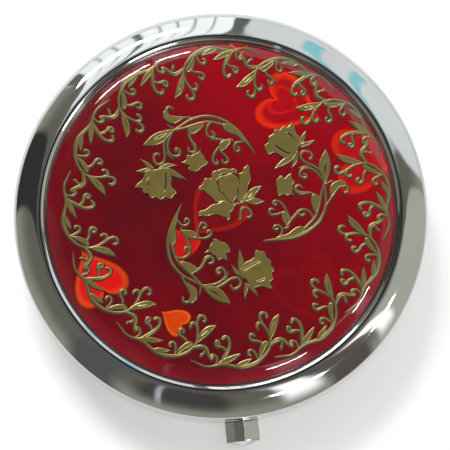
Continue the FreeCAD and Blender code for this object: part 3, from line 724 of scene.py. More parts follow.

# %% [markdown]
# Each heart then needs only a place, a size, a turn and two colours. A Mapping node moves the foil's own
# coordinates to the heart's, and two soft steps on its level give a bright outline and a fainter fill, both
# painted highlights.

# %% Red foil finish
foil, shader = new_finish("red_heart_foil")
tree = foil.node_tree
DRAWING_TURN = CAMERA_TURN
FLASH_RED = (1.0, 0.013, 0.01)
FLASH_ORANGE = (0.95, 0.08, 0.004)
EDGE_RED = (1.0, 0.035, 0.004)
EDGE_ORANGE = (1.0, 0.16, 0.006)
DARK_FOIL = (0.1, 0.006, 0.011)
BRIGHT_FOIL = (0.4, 0.003, 0.012)
PAINTED_CAUSTIC_TONE = (0.3, 0.008, 0.02)
CLOUDS = 0.22
PAINTED_GLOW_SIDE = (0.77, 0.64, 0)
PAINTED_GLOW_RUN = (-0.002, 0.028)
PAINTED_GLOW_GAIN = 0.74
GLOW_FLOOR = 0.33
FRONT_RUN = (0.0, -0.022)
FRONT_SHARE = 0.7
FOIL_EDGE = (0.0262, 0.029)
HEART_FILL = (1.04, 0.9)
BAND_INNER = (0.72, 0.94)
BAND_OUTER = (1.08, 0.98)
HEARTS = [
    # place x, y and half width in millimetres, turn in degrees, strength of outline and fill, their colours
    (13.4, 17.6, 5.0, 65, 0.95, 0.15, EDGE_RED, FLASH_RED),
    (11.8, 18.5, 2.6, 65, 0.4, 0.1, EDGE_RED, FLASH_RED),
    (26.6, 9.4, 5.5, 100, 0.55, 0.3, EDGE_RED, FLASH_RED),
    (-21.6, -9.8, 4.5, -151, 0.4, 0.9, EDGE_ORANGE, FLASH_RED),
    (-8.4, -18.1, 2.25, -123, 0.95, 0.9, EDGE_ORANGE, FLASH_ORANGE),
    (-6.4, -7.0, 2.7, -8, 0.6, 0.7, EDGE_RED, FLASH_RED),
    (3.4, 28.8, 2.0, 10, 0.9, 0.3, EDGE_ORANGE, FLASH_RED),
    (-2.2, -1.4, 4.8, -40, 0.3, 0.08, EDGE_RED, FLASH_RED),
    (15.5, -15.5, 5.6, 25, 0.045, 0.03, EDGE_RED, FLASH_RED),
]
place = object_place(tree)
clouding_and_painted_light = spread(tree, noise(tree, 0.016, 3.0), -CLOUDS, CLOUDS)
# Painted light: the foil is painted brighter towards one side, added to its random clouding.
towards = add_node(tree, "ShaderNodeVectorMath", {"operation": "DOT_PRODUCT"}, i0=place, i1=PAINTED_GLOW_SIDE)
painted_glow = soft_step(tree, towards.outputs["Value"], *PAINTED_GLOW_RUN)
clouding_and_painted_light = math_node(tree, "ADD", clouding_and_painted_light, math_node(tree, "MULTIPLY_ADD", painted_glow, PAINTED_GLOW_GAIN, GLOW_FLOOR))
along = add_node(tree, "ShaderNodeSeparateXYZ", Vector=place).outputs["Y"]
ground = colour_between(tree, clouding_and_painted_light, DARK_FOIL, BRIGHT_FOIL)
# Painted light: a pinker band at the foil's front rim, as if the resin's edge gathered light there.
painted_caustic = math_node(tree, "MULTIPLY", soft_step(tree, along, *FRONT_RUN), FRONT_SHARE)
painted_caustic = math_node(tree, "MULTIPLY", soft_step(tree, reach(tree), *FOIL_EDGE), painted_caustic)
ground = colour_between(tree, painted_caustic, ground, PAINTED_CAUSTIC_TONE)
angle = math.radians(DRAWING_TURN)
for x, y, size, turned_by, outline, fill, edge, flash in HEARTS:
    spot = (x * math.cos(angle) - y * math.sin(angle), x * math.sin(angle) + y * math.cos(angle))
    moved = add_node(
        tree, "ShaderNodeMapping", {"vector_type": "TEXTURE"}, Vector=place,
        Location=(spot[0] * MM, spot[1] * MM, 0),
        Rotation=(0, 0, math.radians(turned_by) + angle),
        Scale=(size * MM, size * MM, 1),
    )
    level = add_node(tree, "ShaderNodeGroup", {"node_tree": heart}, Place=moved.outputs["Vector"])
    level = level.outputs["Level"]
    # Painted highlights: each heart's fill and outline are painted brighter, as the foil flashes in the light.
    inside = math_node(tree, "MULTIPLY", soft_step(tree, level, *HEART_FILL), fill)
    ground = colour_between(tree, inside, ground, flash)
    sides = [soft_step(tree, level, *BAND_INNER), soft_step(tree, level, *BAND_OUTER)]
    band = math_node(tree, "MULTIPLY", math_node(tree, "MULTIPLY", *sides), outline)
    ground = colour_between(tree, band, ground, edge)
sheen = spread(tree, noise(tree, 0.003, 3.0), 0.28, 0.42)
feed_all(tree, shader, Base_Color=ground, Metallic=0.2, Specular_IOR_Level=0.05, Roughness=sheen)
bump(tree, shader, noise(tree, 0.0012, 2.0), 0.000004)
dress(foil, "foil_disc")
print("hearts on the foil:", len(HEARTS))

# %% [markdown]
# The gold is raised print. Its tops are flat and dull like old brass, and the sloping edges carry a painted
# highlight, so the finish asks for the surface's own normal: where it leans away from straight up, the brass is
# paler.
# A thin dark sheet lies under the gold, set a touch out of line with it so that it shows on one side: a painted
# shadow of the raised print.

# %% Gold and painted shadow finishes
BRASS = ((0.182, 0.138, 0.029), (0.218, 0.166, 0.04))
HIGHLIGHT_BRASS = (0.245, 0.2, 0.078)
HIGHLIGHT_LEAN = (0.985, 0.93)
HIGHLIGHT_METAL = 0.4
HIGHLIGHT_GRAIN = 0.01
METAL_SHARE = 0.4
# Tones of the painted shadow under the gold.
SHADOW_TONES = ((0.02, 0.006, 0.004), (0.05, 0.009, 0.008))
gold, shader = new_finish("raised_gold_print")
tree = gold.node_tree
tarnish = spread(tree, noise(tree, 0.003, 2.0), 0.0, 1.0)
brass = colour_between(tree, tarnish, *BRASS)
upward = add_node(tree, "ShaderNodeTexCoord").outputs["Normal"]
upward = add_node(tree, "ShaderNodeSeparateXYZ", Vector=upward).outputs["Z"]
# Painted highlight: where the normal leans from straight up the brass is painted paler, and is also more
# metallic and a touch rougher.
painted_edge_highlight = soft_step(tree, upward, *HIGHLIGHT_LEAN)
brass = colour_between(tree, painted_edge_highlight, brass, HIGHLIGHT_BRASS)
metallic = math_node(tree, "MULTIPLY_ADD", painted_edge_highlight, HIGHLIGHT_METAL, METAL_SHARE)
grain = spread(tree, noise(tree, 0.0009, 3.0), 0.28, 0.4)
grain = math_node(tree, "MULTIPLY_ADD", painted_edge_highlight, HIGHLIGHT_GRAIN, grain)
feed_all(tree, shader, Base_Color=brass, Metallic=metallic, Roughness=grain)
bump(tree, shader, noise(tree, 0.0006, 2.0), 0.000004)

# Painted shadow: a dark, matt finish for the sheet under the gold.
shadow_finish, shader = new_finish("dark_keyline")
tree = shadow_finish.node_tree
faded = spread(tree, noise(tree, 0.0015, 3.0), 0.0, 1.0)
shadow_tone = colour_between(tree, faded, *SHADOW_TONES)
feed_all(tree, shader, Base_Color=shadow_tone, Roughness=spread(tree, noise(tree, 0.0008, 2.0), 0.4, 0.6))
print("finishes:", gold.name, shadow_finish.name)

# %% [markdown]
# Lines are curves with a round bevel whose thickness changes from point to point, made a mesh and pressed
# flat. Leaves and petals are plates: closed flat curves, filled, thickened and bevelled, and a second closed
# curve inside the first leaves a slit. The painted shadow is the same drawing, a little wider and almost flat.

# %% Line and plate helpers
# Painted shadow: a dark copy of the drawing under the gold, a little wider and set off to one side.
SHADOW_WIDTH = 0.13
SHADOW_SHIFT = (0.1, -0.1)
SHADOW_LEVEL = FOIL_TOP + 0.012
SHADOW_PRESS = 0.02
SHADOW_HALF = 0.008
LINE_WEIGHT = 0.86
LINE_PRESS = 0.36
LINE_LEVEL = FOIL_TOP + 0.04
PLATE_LEVEL = FOIL_TOP + 0.1
PLATE_HALF = 0.02
PLATE_INSET = -0.05
LAYER_STEP = 0.05
CHAMFER = 0.1
CHAMFER_PRESS = 0.42
CRISP_ANGLE = 14
RUFFLE = 0.15
RUFFLE_FROM = 0.6
PRINT_SMOOTH = 60
MERGE_DISTANCE = 0.000002


def to_mesh(curve, level, press):
    """Make a curve a mesh, press it flat and set it at a height in millimetres."""
    piece = bpy.data.objects.new(curve.name, curve)
    bpy.context.scene.collection.objects.link(piece)
    select_only(piece)
    bpy.ops.object.convert(target="MESH")
    bpy.ops.object.mode_set(mode="EDIT")
    bpy.ops.mesh.select_all(action="SELECT")
    bpy.ops.mesh.remove_doubles(threshold=MERGE_DISTANCE)
    bpy.ops.transform.resize(value=(1, 1, press), center_override=(0, 0, 0))
    bpy.ops.transform.translate(value=(0, 0, level * MM))
    bpy.ops.mesh.normals_make_consistent(inside=False)
    bpy.ops.object.mode_set(mode="OBJECT")
    return bpy.context.object


def add_points(curve, points, closed):
    """Add a smooth line pulled by its points; a point's third number is its half width in millimetres."""
    line = curve.splines.new("NURBS")
    line.points.add(len(points) - 1)
    for spot, (x, y, half) in zip(line.points, points):
        spot.co = (x * MM, y * MM, 0, 1)
        spot.radius = half
    line.use_cyclic_u = closed
    line.order_u = 3
    line.use_endpoint_u = not closed
    line.resolution_u = 4


def draw_lines(lines, wider, roundness, press, level):
    """Draw lines as one piece, each wider by the same amount."""
    curve = bpy.data.curves.new("lines", "CURVE")
    curve.dimensions = "3D"
    curve.bevel_depth = MM
    curve.bevel_resolution = roundness
    curve.use_fill_caps = True
    for points in lines:
        add_points(curve, [(x, y, half * LINE_WEIGHT + wider) for x, y, half in points], False)
    return to_mesh(curve, level, press)


def cut_plate(outlines, wider, thick, rounding, level):
    """Cut a plate from its outline and the outlines of its slits."""
    curve = bpy.data.curves.new("plate", "CURVE")
    curve.dimensions = "2D"
    curve.fill_mode = "BOTH"
    curve.extrude = thick * MM
    curve.bevel_depth = rounding * MM
    curve.bevel_resolution = 0
    curve.offset = wider * MM
    for outline in outlines:
        add_points(curve, [(x, y, 1) for x, y in outline], True)
    plate = to_mesh(curve, level, CHAMFER_PRESS)
    bpy.ops.object.shade_smooth_by_angle(angle=math.radians(CRISP_ANGLE))
    return plate


def ruffled(outline):
    """Return an outline with an extra corner between every two, pushed out and in by turns."""
    corners = []
    side = 1
    for (x, y), (next_x, next_y) in zip(outline, outline[1:] + outline[:1]):
        corners.append((x, y))
        length = math.hypot(next_x - x, next_y - y)
        if length > RUFFLE_FROM:
            push = side * RUFFLE / length
            middle = ((x + next_x) / 2, (y + next_y) / 2)
            corners.append((middle[0] + (next_y - y) * push, middle[1] - (next_x - x) * push))
            side = -side
    return corners


def joined(name, pieces):
    """Join pieces into one and name it."""
    bpy.ops.object.select_all(action="DESELECT")
    for piece in pieces:
        piece.select_set(True)
    bpy.context.view_layer.objects.active = pieces[0]
    if len(pieces) > 1:
        bpy.ops.object.join()
    whole = bpy.context.object
    whole.name = name
    return whole


def stamp(name, lines, plates):
    """Make a motif's gold and its painted shadow; a plate is a layer's number and its outlines."""
    raised = [draw_lines(lines, 0, 2, LINE_PRESS, LINE_LEVEL)]
    under = [draw_lines(lines, SHADOW_WIDTH, 0, SHADOW_PRESS, SHADOW_LEVEL)]
    for layer, outlines in plates:
        if layer:
            outlines = [ruffled(outlines[0])] + outlines[1:]
        raised.append(cut_plate(outlines, PLATE_INSET, PLATE_HALF, CHAMFER, PLATE_LEVEL + LAYER_STEP * layer))
        under.append(cut_plate(outlines, SHADOW_WIDTH, SHADOW_HALF, 0, SHADOW_LEVEL))
    return joined(name, raised), joined(name + "_keyline", under)


def ring_of_copies(piece, count):
    """Copy a piece round the origin and join the copies into it."""
    copies = [piece]
    for number in range(1, count):
        select_only(piece)
        bpy.ops.object.duplicate()
        twin = bpy.context.object
        twin.rotation_euler.z = 2 * math.pi * number / count
        apply_moves()
        copies.append(twin)
    return joined(piece.name, copies)


def place_print(piece, middle, shifted):
    """Move a finished part of the print to its middle and turn it as the whole drawing is turned."""
    select_only(piece)
    # The painted shadow is set a little off to one side of the gold.
    shift = SHADOW_SHIFT if shifted else (0, 0)
    piece.location = ((middle[0] + shift[0]) * MM, (middle[1] + shift[1]) * MM, 0)
    apply_moves()
    piece.rotation_euler.z = math.radians(DRAWING_TURN)
    apply_moves()


def print_on_foil(stamped, count, middle):
    """Copy a stamped motif round, set it in its place and finish its gold and its painted shadow."""
    for piece, finish in zip(stamped, (gold, shadow_finish)):
        whole = ring_of_copies(piece, count)
        place_print(whole, middle, finish is shadow_finish)
        settle(whole, "lid", finish, smooth_angle=PRINT_SMOOTH)


print("print helpers ready")

# %% [markdown]
# A wreath of twelve sprigs runs round the border. A sprig's stem starts as a thin tip at the edge, swells,
# leaves the edge in an arc and ends in curls, with leaves on both sides. It is drawn in turns and radii, as
# degrees and millimetres, so that it bends with the border, and then copied round.

# %% Border wreath
SPRIGS = 12
SPRIG_START = 137
WREATH_MIDDLE = (0.95, 1.05)
STEM = [
    (0.2, 27.0, 0.05), (3, 27.3, 0.13), (5.5, 27.65, 0.16), (8, 27.5, 0.18), (10, 27.1, 0.22),
    (12.5, 27.0, 0.24), (15, 27.3, 0.27), (18, 27.7, 0.34), (21, 27.55, 0.38), (24, 27.15, 0.32),
    (26.5, 26.5, 0.24), (28.8, 25.6, 0.22), (30.2, 24.7, 0.2), (30.8, 24.0, 0.2), (30.9, 23.0, 0.2),
    (30.4, 21.9, 0.2), (29.4, 21.0, 0.26), (27.8, 20.7, 0.28), (26.6, 21.1, 0.25), (26.6, 21.7, 0.23),
    (27.3, 21.8, 0.2),
]
TENDRILS = [
    [(29.6, 21.2, 0.18), (28.9, 20.2, 0.22), (29.4, 19.45, 0.27), (31, 19.25, 0.29), (32.6, 19.55, 0.26),
     (32.7, 20.15, 0.23), (31.9, 20.2, 0.18)],
    [(9, 27.3, 0.15), (9.7, 26.5, 0.18), (9.3, 25.8, 0.21), (8, 25.45, 0.23), (6.9, 25.8, 0.22),
     (7.1, 26.4, 0.21), (7.9, 26.3, 0.17)],
    [(11, 26.9, 0.3), (12, 26.0, 0.38), (13.2, 25.0, 0.36), (14.2, 24.0, 0.27), (14.2, 23.0, 0.24),
     (13.2, 22.35, 0.29), (11.8, 22.4, 0.3), (11.1, 22.9, 0.25)],
    [(13, 24.8, 0.22), (12, 24.3, 0.22), (10.6, 24.1, 0.24), (9.2, 24.15, 0.25), (8.2, 23.6, 0.24),
     (9.1, 23.0, 0.24), (10.2, 23.4, 0.22), (9.7, 23.8, 0.17)],
    [(24.4, 26.9, 0.17), (24, 25.9, 0.19), (23.2, 25.1, 0.21), (22, 24.9, 0.23), (21, 25.3, 0.22),
     (21.3, 25.9, 0.21), (22.1, 25.7, 0.17)],
    [(28, 24.8, 0.2), (26.8, 23.9, 0.2), (25.2, 23.6, 0.22), (23.6, 23.5, 0.24), (22.5, 23.0, 0.24),
     (23.2, 22.3, 0.24), (24.6, 22.4, 0.23), (24.8, 22.95, 0.18)],
    [(30, 24.9, 0.18), (31.5, 24.6, 0.3), (33.4, 24.35, 0.42), (35, 24.6, 0.4), (36, 25.3, 0.32),
     (36.6, 25.95, 0.26), (37.6, 26.2, 0.25), (38.2, 25.8, 0.2)],
    [(34.6, 25.0, 0.2), (34.2, 25.7, 0.19), (33.3, 25.7, 0.21), (33.5, 26.2, 0.16)],
]
SPRIG_LEAVES = [
    [[(9.8, 27.1), (11.5, 26.95), (14, 26.7), (16.3, 26.1), (18, 25.4), (18, 25.4), (16.2, 25.5),
      (14, 25.8), (12, 26.2), (10.6, 26.7)]],
    [[(16.5, 27.5), (18, 27.5), (20.5, 27.1), (22, 26.45), (22, 26.45), (20.3, 26.5), (18.4, 26.7),
      (17, 27.1)]],
    [[(24.8, 26.6), (26.2, 26.0), (27.6, 25.2), (30, 24.3), (28.6, 24.0), (27.2, 24.3), (25.9, 25.0),
      (25, 25.9)]],
    [[(30.6, 24.2), (31.6, 23.7), (33.4, 23.0), (35.6, 21.95), (38, 20.6), (38, 20.6), (36, 20.7),
      (34, 21.05), (32.4, 21.8), (31.4, 22.6), (30.8, 23.4)],
     [(32.0, 22.9), (33.6, 22.2), (35.4, 21.4), (33.4, 21.9)]],
]


def on_border(turned_by, radius):
    """Return the place at a turn along the sprig, in degrees, and a radius, in millimetres."""
    angle = math.radians(SPRIG_START + turned_by)
    return radius * math.cos(angle), radius * math.sin(angle)


sprig_lines = [[(*on_border(a, r), half) for a, r, half in line] for line in [STEM] + TENDRILS]
sprig_plates = [(0, [[on_border(a, r) for a, r in outline] for outline in leaf]) for leaf in SPRIG_LEAVES]
print_on_foil(stamp("gold_wreath", sprig_lines, sprig_plates), SPRIGS, WREATH_MIDDLE)

# %% [markdown]
# Inside the wreath three sprays turn round a large rose. A spray has a long leaf-like stem, a rose that hangs
# from a curl, a bud, and tendrils. It is drawn once, in millimetres from the middle of the lid.

# %% Spray drawing
SPRAYS = 3
WHIRL_MIDDLE = (2.11, 2.11)
SPRAY_OFFSET = (1.42, 1.02)
SPRAY_LINES = [
    # the two long stems
    [(-8.6, 13.0, 0.14), (-7.8, 13.5, 0.17), (-6.6, 14.4, 0.18), (-5.4, 15.05, 0.2), (-4, 15.4, 0.22),
     (-2.4, 15.45, 0.24), (-0.8, 15.0, 0.25), (1.0, 14.0, 0.28), (2.6, 12.4, 0.32), (3.8, 10.7, 0.22),
     (5.1, 9.0, 0.04)],
    [(-8.8, 12.9, 0.1), (-7.2, 13.25, 0.15), (-5.6, 13.85, 0.16), (-4, 14.35, 0.17), (-2.4, 14.5, 0.18),
     (-1, 14.1, 0.2), (0.6, 13.7, 0.24), (2.0, 12.6, 0.22), (3.2, 11.2, 0.12)],
    # the hooked leaf above them and its tail
    [(-5.4, 15.1, 0.12), (-7, 15.2, 0.15), (-8.6, 15.25, 0.16), (-9.7, 15.5, 0.2), (-10.1, 16.2, 0.24),
     (-9.8, 17.0, 0.23), (-9.1, 17.0, 0.2), (-8.9, 16.6, 0.15)],
    [(-8.5, 13.1, 0.1), (-9.2, 13.5, 0.13), (-9.8, 14.0, 0.05)],
    # the bud's stalk
    [(-6.1, 12.9, 0.2), (-6.1, 11.8, 0.19), (-5.6, 11.0, 0.22), (-5.1, 10.3, 0.34), (-5.0, 9.6, 0.3),
     (-5.3, 9.1, 0.25), (-5.9, 9.1, 0.22), (-6.3, 9.5, 0.2), (-6.1, 10.1, 0.13)],
    # tendrils under the right half
    [(-2.3, 14.4, 0.15), (-2.9, 13.9, 0.15), (-3.2, 13.0, 0.16), (-3.0, 12.0, 0.17), (-2.3, 11.6, 0.2),
     (-1.8, 11.8, 0.21), (-1.8, 12.5, 0.2), (-2.4, 12.7, 0.19)],
    [(-2.4, 11.55, 0.2), (-1.2, 11.4, 0.22), (-0.2, 11.15, 0.22), (0.6, 11.25, 0.17), (1.2, 11.4, 0.2),
     (1.5, 11.0, 0.12)],
    [(-0.2, 11.0, 0.15), (-1.0, 10.1, 0.15), (-1.7, 9.2, 0.16), (-2.1, 8.2, 0.17), (-2.0, 7.3, 0.19),
     (-1.4, 7.0, 0.21), (-1.1, 7.5, 0.19), (-1.5, 7.8, 0.17)],
    [(-0.9, 9.4, 0.13), (-0.2, 8.9, 0.13), (0.4, 8.2, 0.16), (0.6, 7.6, 0.18), (0.1, 7.15, 0.19),
     (-0.5, 7.4, 0.18), (-0.4, 7.9, 0.15)],
    [(3.3, 10.95, 0.12), (2.4, 11.0, 0.15), (1.7, 10.7, 0.16), (1.45, 10.0, 0.16), (1.8, 9.3, 0.17),
     (2.4, 9.3, 0.19), (2.5, 9.9, 0.18), (2.0, 10.1, 0.16)],
    # the rose's two stalks
    [(-10.2, 11.4, 0.16), (-10.35, 10.3, 0.18), (-10.3, 9.4, 0.18), (-10.15, 8.5, 0.18), (-10.3, 7.5, 0.2),
     (-10.8, 7.0, 0.22), (-11.6, 7.0, 0.22), (-12.1, 7.8, 0.2), (-12.0, 8.7, 0.19), (-11.4, 8.95, 0.19),
     (-11.0, 8.7, 0.15)],
    [(-8.8, 12.9, 0.14), (-9.3, 11.9, 0.17), (-9.7, 10.8, 0.17), (-9.75, 9.7, 0.17), (-9.3, 8.7, 0.18),
     (-8.6, 8.4, 0.19), (-7.8, 8.5, 0.21), (-7.55, 9.2, 0.21), (-8.0, 9.85, 0.21), (-8.5, 9.5, 0.19),
     (-8.2, 9.1, 0.15)],
    [(-9.9, 9.3, 0.1), (-9.6, 8.5, 0.15), (-8.8, 8.0, 0.04)],
]
SPRAY_PLATES = [
    # leaf at the left end, with a slit
    (0, [[(-13.7, 10.4), (-13.7, 10.4), (-12.6, 11.8), (-11.2, 12.6), (-9.3, 13.0), (-8.5, 13.0),
          (-9.4, 12.3), (-10.1, 11.1), (-11.2, 10.5), (-12.4, 10.3)],
         [(-12.1, 11.3), (-11.0, 12.0), (-9.6, 12.6), (-10.4, 11.9), (-11.2, 11.4)]]),
    # body of the hooked leaf
    (0, [[(-6.9, 15.1), (-8.2, 15.3), (-9.4, 15.4), (-10.0, 16.3), (-10.5, 16.1), (-10.4, 15.0),
          (-9.5, 14.3), (-8.6, 14.1), (-7.7, 14.6)]]),
    # leaf at the bud's stalk
    (0, [[(-6.2, 13.7), (-5.2, 14.0), (-3.8, 14.4), (-3.5, 13.9), (-4.4, 12.9), (-5.2, 12.4),
          (-6.0, 12.2), (-6.2, 12.9)]]),
    # blade at the right end
    (0, [[(-0.4, 13.9), (0.4, 14.1), (1.6, 13.4), (2.6, 12.2), (3.9, 10.5), (3.0, 11.0), (2.2, 12.0),
          (1.0, 12.4), (0.0, 12.9)]]),
    # small leaf between the tendrils
    (0, [[(-0.3, 11.2), (0.6, 11.1), (1.1, 11.2), (0.6, 10.4), (0.1, 9.7), (-0.7, 9.3), (-1.1, 9.6),
          (-0.9, 10.5)]]),
    # the bud
    (1, [[(-4.2, 9.6), (-4.2, 9.6), (-3.9, 8.7), (-3.5, 8.0), (-2.9, 7.4), (-2.9, 7.4), (-3.5, 6.8),
          (-4.4, 6.0), (-5.8, 5.9), (-6.2, 6.2), (-5.9, 6.9), (-7.2, 7.3), (-7.2, 7.3), (-6.4, 7.9),
          (-6.2, 8.6), (-5.4, 8.5), (-4.8, 8.8)]]),
    # the rose: its petals with two folds, and the sepals
    (1, [[(-12.9, 6.0), (-13.5, 5.3), (-14.1, 4.0), (-15.1, 3.0), (-15.1, 3.0), (-13.8, 2.8),
          (-13.6, 2.0), (-12.7, 1.8), (-12.4, 1.1), (-11.5, 1.3), (-10.7, 0.9), (-9.9, 1.35), (-9.0, 1.1),
          (-8.1, 2.1), (-9.0, 2.8), (-9.1, 4.3), (-9.3, 5.3), (-9.7, 6.2), (-11, 6.2)],
         [(-9.95, 5.7), (-9.75, 4.2), (-9.9, 2.7), (-10.2, 2.2), (-10.25, 2.8), (-10.1, 4.2),
          (-10.25, 5.6)],
         [(-12.6, 5.0), (-12.9, 3.9), (-12.85, 3.0), (-13.2, 3.3), (-13.15, 4.1)]]),
    (0, [[(-12.0, 6.3), (-12.9, 6.3), (-13.5, 7.1), (-14.2, 7.8), (-14.2, 7.8), (-13.3, 7.5),
          (-12.4, 6.8)]]),
    (0, [[(-12.4, 6.2), (-13.2, 6.4), (-14.8, 5.8), (-14.8, 5.8), (-13.8, 5.6), (-12.9, 5.8)]]),
    (0, [[(-11.4, 6.2), (-10.4, 6.8), (-9.6, 7.2), (-8.3, 6.9), (-8.3, 6.9), (-9.2, 6.7), (-10.0, 6.3)]]),
    (0, [[(-10.2, 6.3), (-9.3, 6.3), (-8.0, 5.5), (-6.7, 4.5), (-6.7, 4.5), (-7.9, 4.7), (-9.2, 5.1)]]),
]
print("spray lines:", len(SPRAY_LINES), "plates:", len(SPRAY_PLATES))

# %% [markdown]
# The three sprays turn about a middle of their own, a little off the lid's. So the drawing is first moved to
# lie about that middle, and then stamped and copied round it.

# %% Sprays
off_x, off_y = SPRAY_OFFSET
whirl_lines = [[(x - off_x, y - off_y, half) for x, y, half in line] for line in SPRAY_LINES]
whirl_plates = []
for layer, outlines in SPRAY_PLATES:
    moved = [[(x - off_x, y - off_y) for x, y in outline] for outline in outlines]
    whirl_plates.append((layer, moved))
print_on_foil(stamp("gold_sprays", whirl_lines, whirl_plates), SPRAYS, WHIRL_MIDDLE)

# %% [markdown]
# The large rose in the middle is drawn only once. Its petals are plates with narrow gaps between them, and
# the dark painted shadow shows through the gaps as the shade in the grooves, the drawing's inner lines.

# %% Great rose
ROSE_MIDDLE = (0.69, 1.09)
ROSE_PLATES = [
    (1, [[(-1.6, 0.5), (-2.6, 1.7), (-3.4, 2.5), (-4.4, 2.5), (-4.2, 3.1), (-3.5, 4.0), (-3.1, 4.6),
          (-2.2, 4.5), (-2.0, 5.6), (-1.5, 5.9), (-0.8, 6.1), (0.6, 6.15), (1.6, 6.25), (2.1, 5.6),
          (2.0, 5.35), (1.0, 5.45), (-0.1, 5.4), (-1.0, 5.0), (-1.45, 4.3), (-1.35, 3.3), (-1.2, 2.7),
          (-0.6, 1.9), (0.2, 1.0), (0.4, 0.6), (-0.6, 0.65)]]),
    (1, [[(-1.0, 3.0), (-1.15, 4.2), (-0.5, 5.0), (0.5, 5.2), (1.6, 5.15), (2.15, 4.7), (2.2, 3.4),
          (2.05, 2.2), (1.9, 1.2), (1.4, 0.3), (0.9, 0.5), (0.2, 1.3), (-0.5, 2.1)]]),
    (1, [[(2.3, 5.3), (2.9, 5.7), (3.2, 5.6), (3.3, 6.4), (3.75, 6.9), (4.1, 6.2), (4.3, 5.0), (4.1, 3.8),
          (3.8, 2.6), (3.4, 1.4), (3.0, 0.6), (2.5, 0.4), (2.1, 1.0), (2.3, 2.4), (2.45, 3.8)]]),
    (1, [[(0.2, 0.5), (-0.6, 0.5), (-1.6, 0.1), (-2.8, -0.6), (-4.1, -1.1), (-4.4, -2.0), (-3.6, -1.9),
          (-2.4, -1.7), (-0.8, -1.75), (0.0, -2.0), (0.4, -2.7), (0.85, -2.0), (0.95, -1.2), (1.5, -0.4),
          (1.9, 0.05), (1.4, 0.05), (0.9, 0.25)]]),
    (0, [[(2.9, 0.4), (3.6, 1.5), (4.2, 2.5), (5.0, 3.0), (6.1, 3.2), (6.1, 3.2), (5.6, 2.5), (5.1, 1.9),
          (4.9, 1.3), (4.2, 1.1), (3.6, 0.6)],
         [(3.7, 1.2), (4.3, 1.8), (4.8, 2.2), (4.5, 1.6)]]),
    (0, [[(3.5, 0.5), (4.4, 1.0), (5.4, 1.15), (6.5, 0.6), (6.5, 0.6), (5.6, 0.25), (4.6, 0.1)]]),
]
ROSE_LINES = [
    [(1.5, 0.1, 0.14), (2.6, 0.3, 0.18), (3.6, 0.7, 0.1)],
    [(2.3, -2.4, 0.14), (2.7, -2.6, 0.2), (2.55, -1.4, 0.21), (2.9, -0.4, 0.23), (3.8, -0.5, 0.23),
     (4.5, -1.3, 0.21), (4.3, -2.2, 0.2), (3.6, -2.1, 0.17)],
]
print_on_foil(stamp("gold_rose", ROSE_LINES, ROSE_PLATES), 1, ROSE_MIDDLE)

# %% [markdown]
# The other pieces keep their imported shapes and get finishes. Real edges are never quite sharp, so each of
# these finishes lets the Bevel node round the edges in the shading alone, without touching the mesh.

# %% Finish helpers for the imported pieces
EDGE_ROUNDING = 0.00012
LATHE_LINES = 9000.0


def rounded_bump(tree, shader, height, depth):
    """Raise the surface by a height over edges that the shading rounds."""
    edges = add_node(tree, "ShaderNodeBevel", {"samples": 6}, Radius=EDGE_ROUNDING).outputs["Normal"]
    node = add_node(tree, "ShaderNodeBump", Height=height, Distance=depth, Normal=edges)
    feed_all(tree, shader, Normal=node.outputs["Normal"])


def straight_grain(tree, scale):
    """Return a noise stretched by a scale for each axis, in patches per metre."""
    moved = add_node(tree, "ShaderNodeMapping", Vector=object_place(tree), Scale=scale).outputs["Vector"]
    return add_node(tree, "ShaderNodeTexNoise", Vector=moved, Scale=1.0, Detail=2.0).outputs["Fac"]


def turning_lines(tree):
    """Return fine rings round the Z axis, as a lathe leaves them."""
    settings = {"noise_dimensions": "1D"}
    node = add_node(tree, "ShaderNodeTexNoise", settings, W=reach(tree), Scale=LATHE_LINES, Detail=2.0)
    return node.outputs["Fac"]


def metal_finish(name, dark, light, low, high, depth, scale=None):
    """Make a plain metal: two tones in slow patches, and a grain that also changes its roughness.

    The grain is straight where it has a scale for each axis, and else the rings of a lathe.
    """
    material, shader = new_finish(name)
    tree = material.node_tree
    patches = spread(tree, noise(tree, 0.005, 3.0), 0.0, 1.0)
    metal = colour_between(tree, patches, dark, light)
    lines = straight_grain(tree, scale) if scale else turning_lines(tree)
    feed_all(tree, shader, Metallic=1.0, Base_Color=metal, Roughness=spread(tree, lines, low, high))
    rounded_bump(tree, shader, lines, depth)
    return material


print("finish helpers ready")

# %% [markdown]
# The two rings that hold the mirrors are plated like the case, but spun to a soft sheen of fine circles.
# The hinge and the latch are stamped steel with straight grain, and the spring is darker, tempered steel.

# %% Metal finishes
spun = metal_finish(
    "spun_plating", (0.44, 0.445, 0.445), (0.5, 0.505, 0.505), low=0.16, high=0.28, depth=0.0000012
)
dress(spun, "base_frame", "lid_frame")
stamped = metal_finish(
    "stamped_steel", (0.5, 0.5, 0.49), (0.6, 0.595, 0.58), low=0.16, high=0.34, depth=0.000003,
    scale=(250, 7000, 7000),
)
dress(stamped, "base_hinge_leaf", "lid_hinge_leaf", "latch_slider", "latch_retainer", "lid_catch")
drawn = metal_finish(
    "drawn_wire_steel", (0.42, 0.43, 0.45), (0.54, 0.545, 0.56), low=0.12, high=0.26, depth=0.000002,
    scale=(400, 5000, 5000),
)
dress(drawn, "hinge_pin", "base_hinge_rivets", "lid_hinge_rivets", "retainer_screws")
tempered = metal_finish(
    "tempered_spring_steel", (0.16, 0.17, 0.22), (0.3, 0.29, 0.3), low=0.18, high=0.32, depth=0.000002,
    scale=(600, 4000, 4000),
)

# %% [markdown]
# The latch spring is a bowed strip. Its middle leans on the ring and its ends on the block behind the button,
# so it flattens as the button goes in. It is made from one upright face, the end of the strip, spun through
# the arc of the bow, and its ends are held within the imported spring's box.

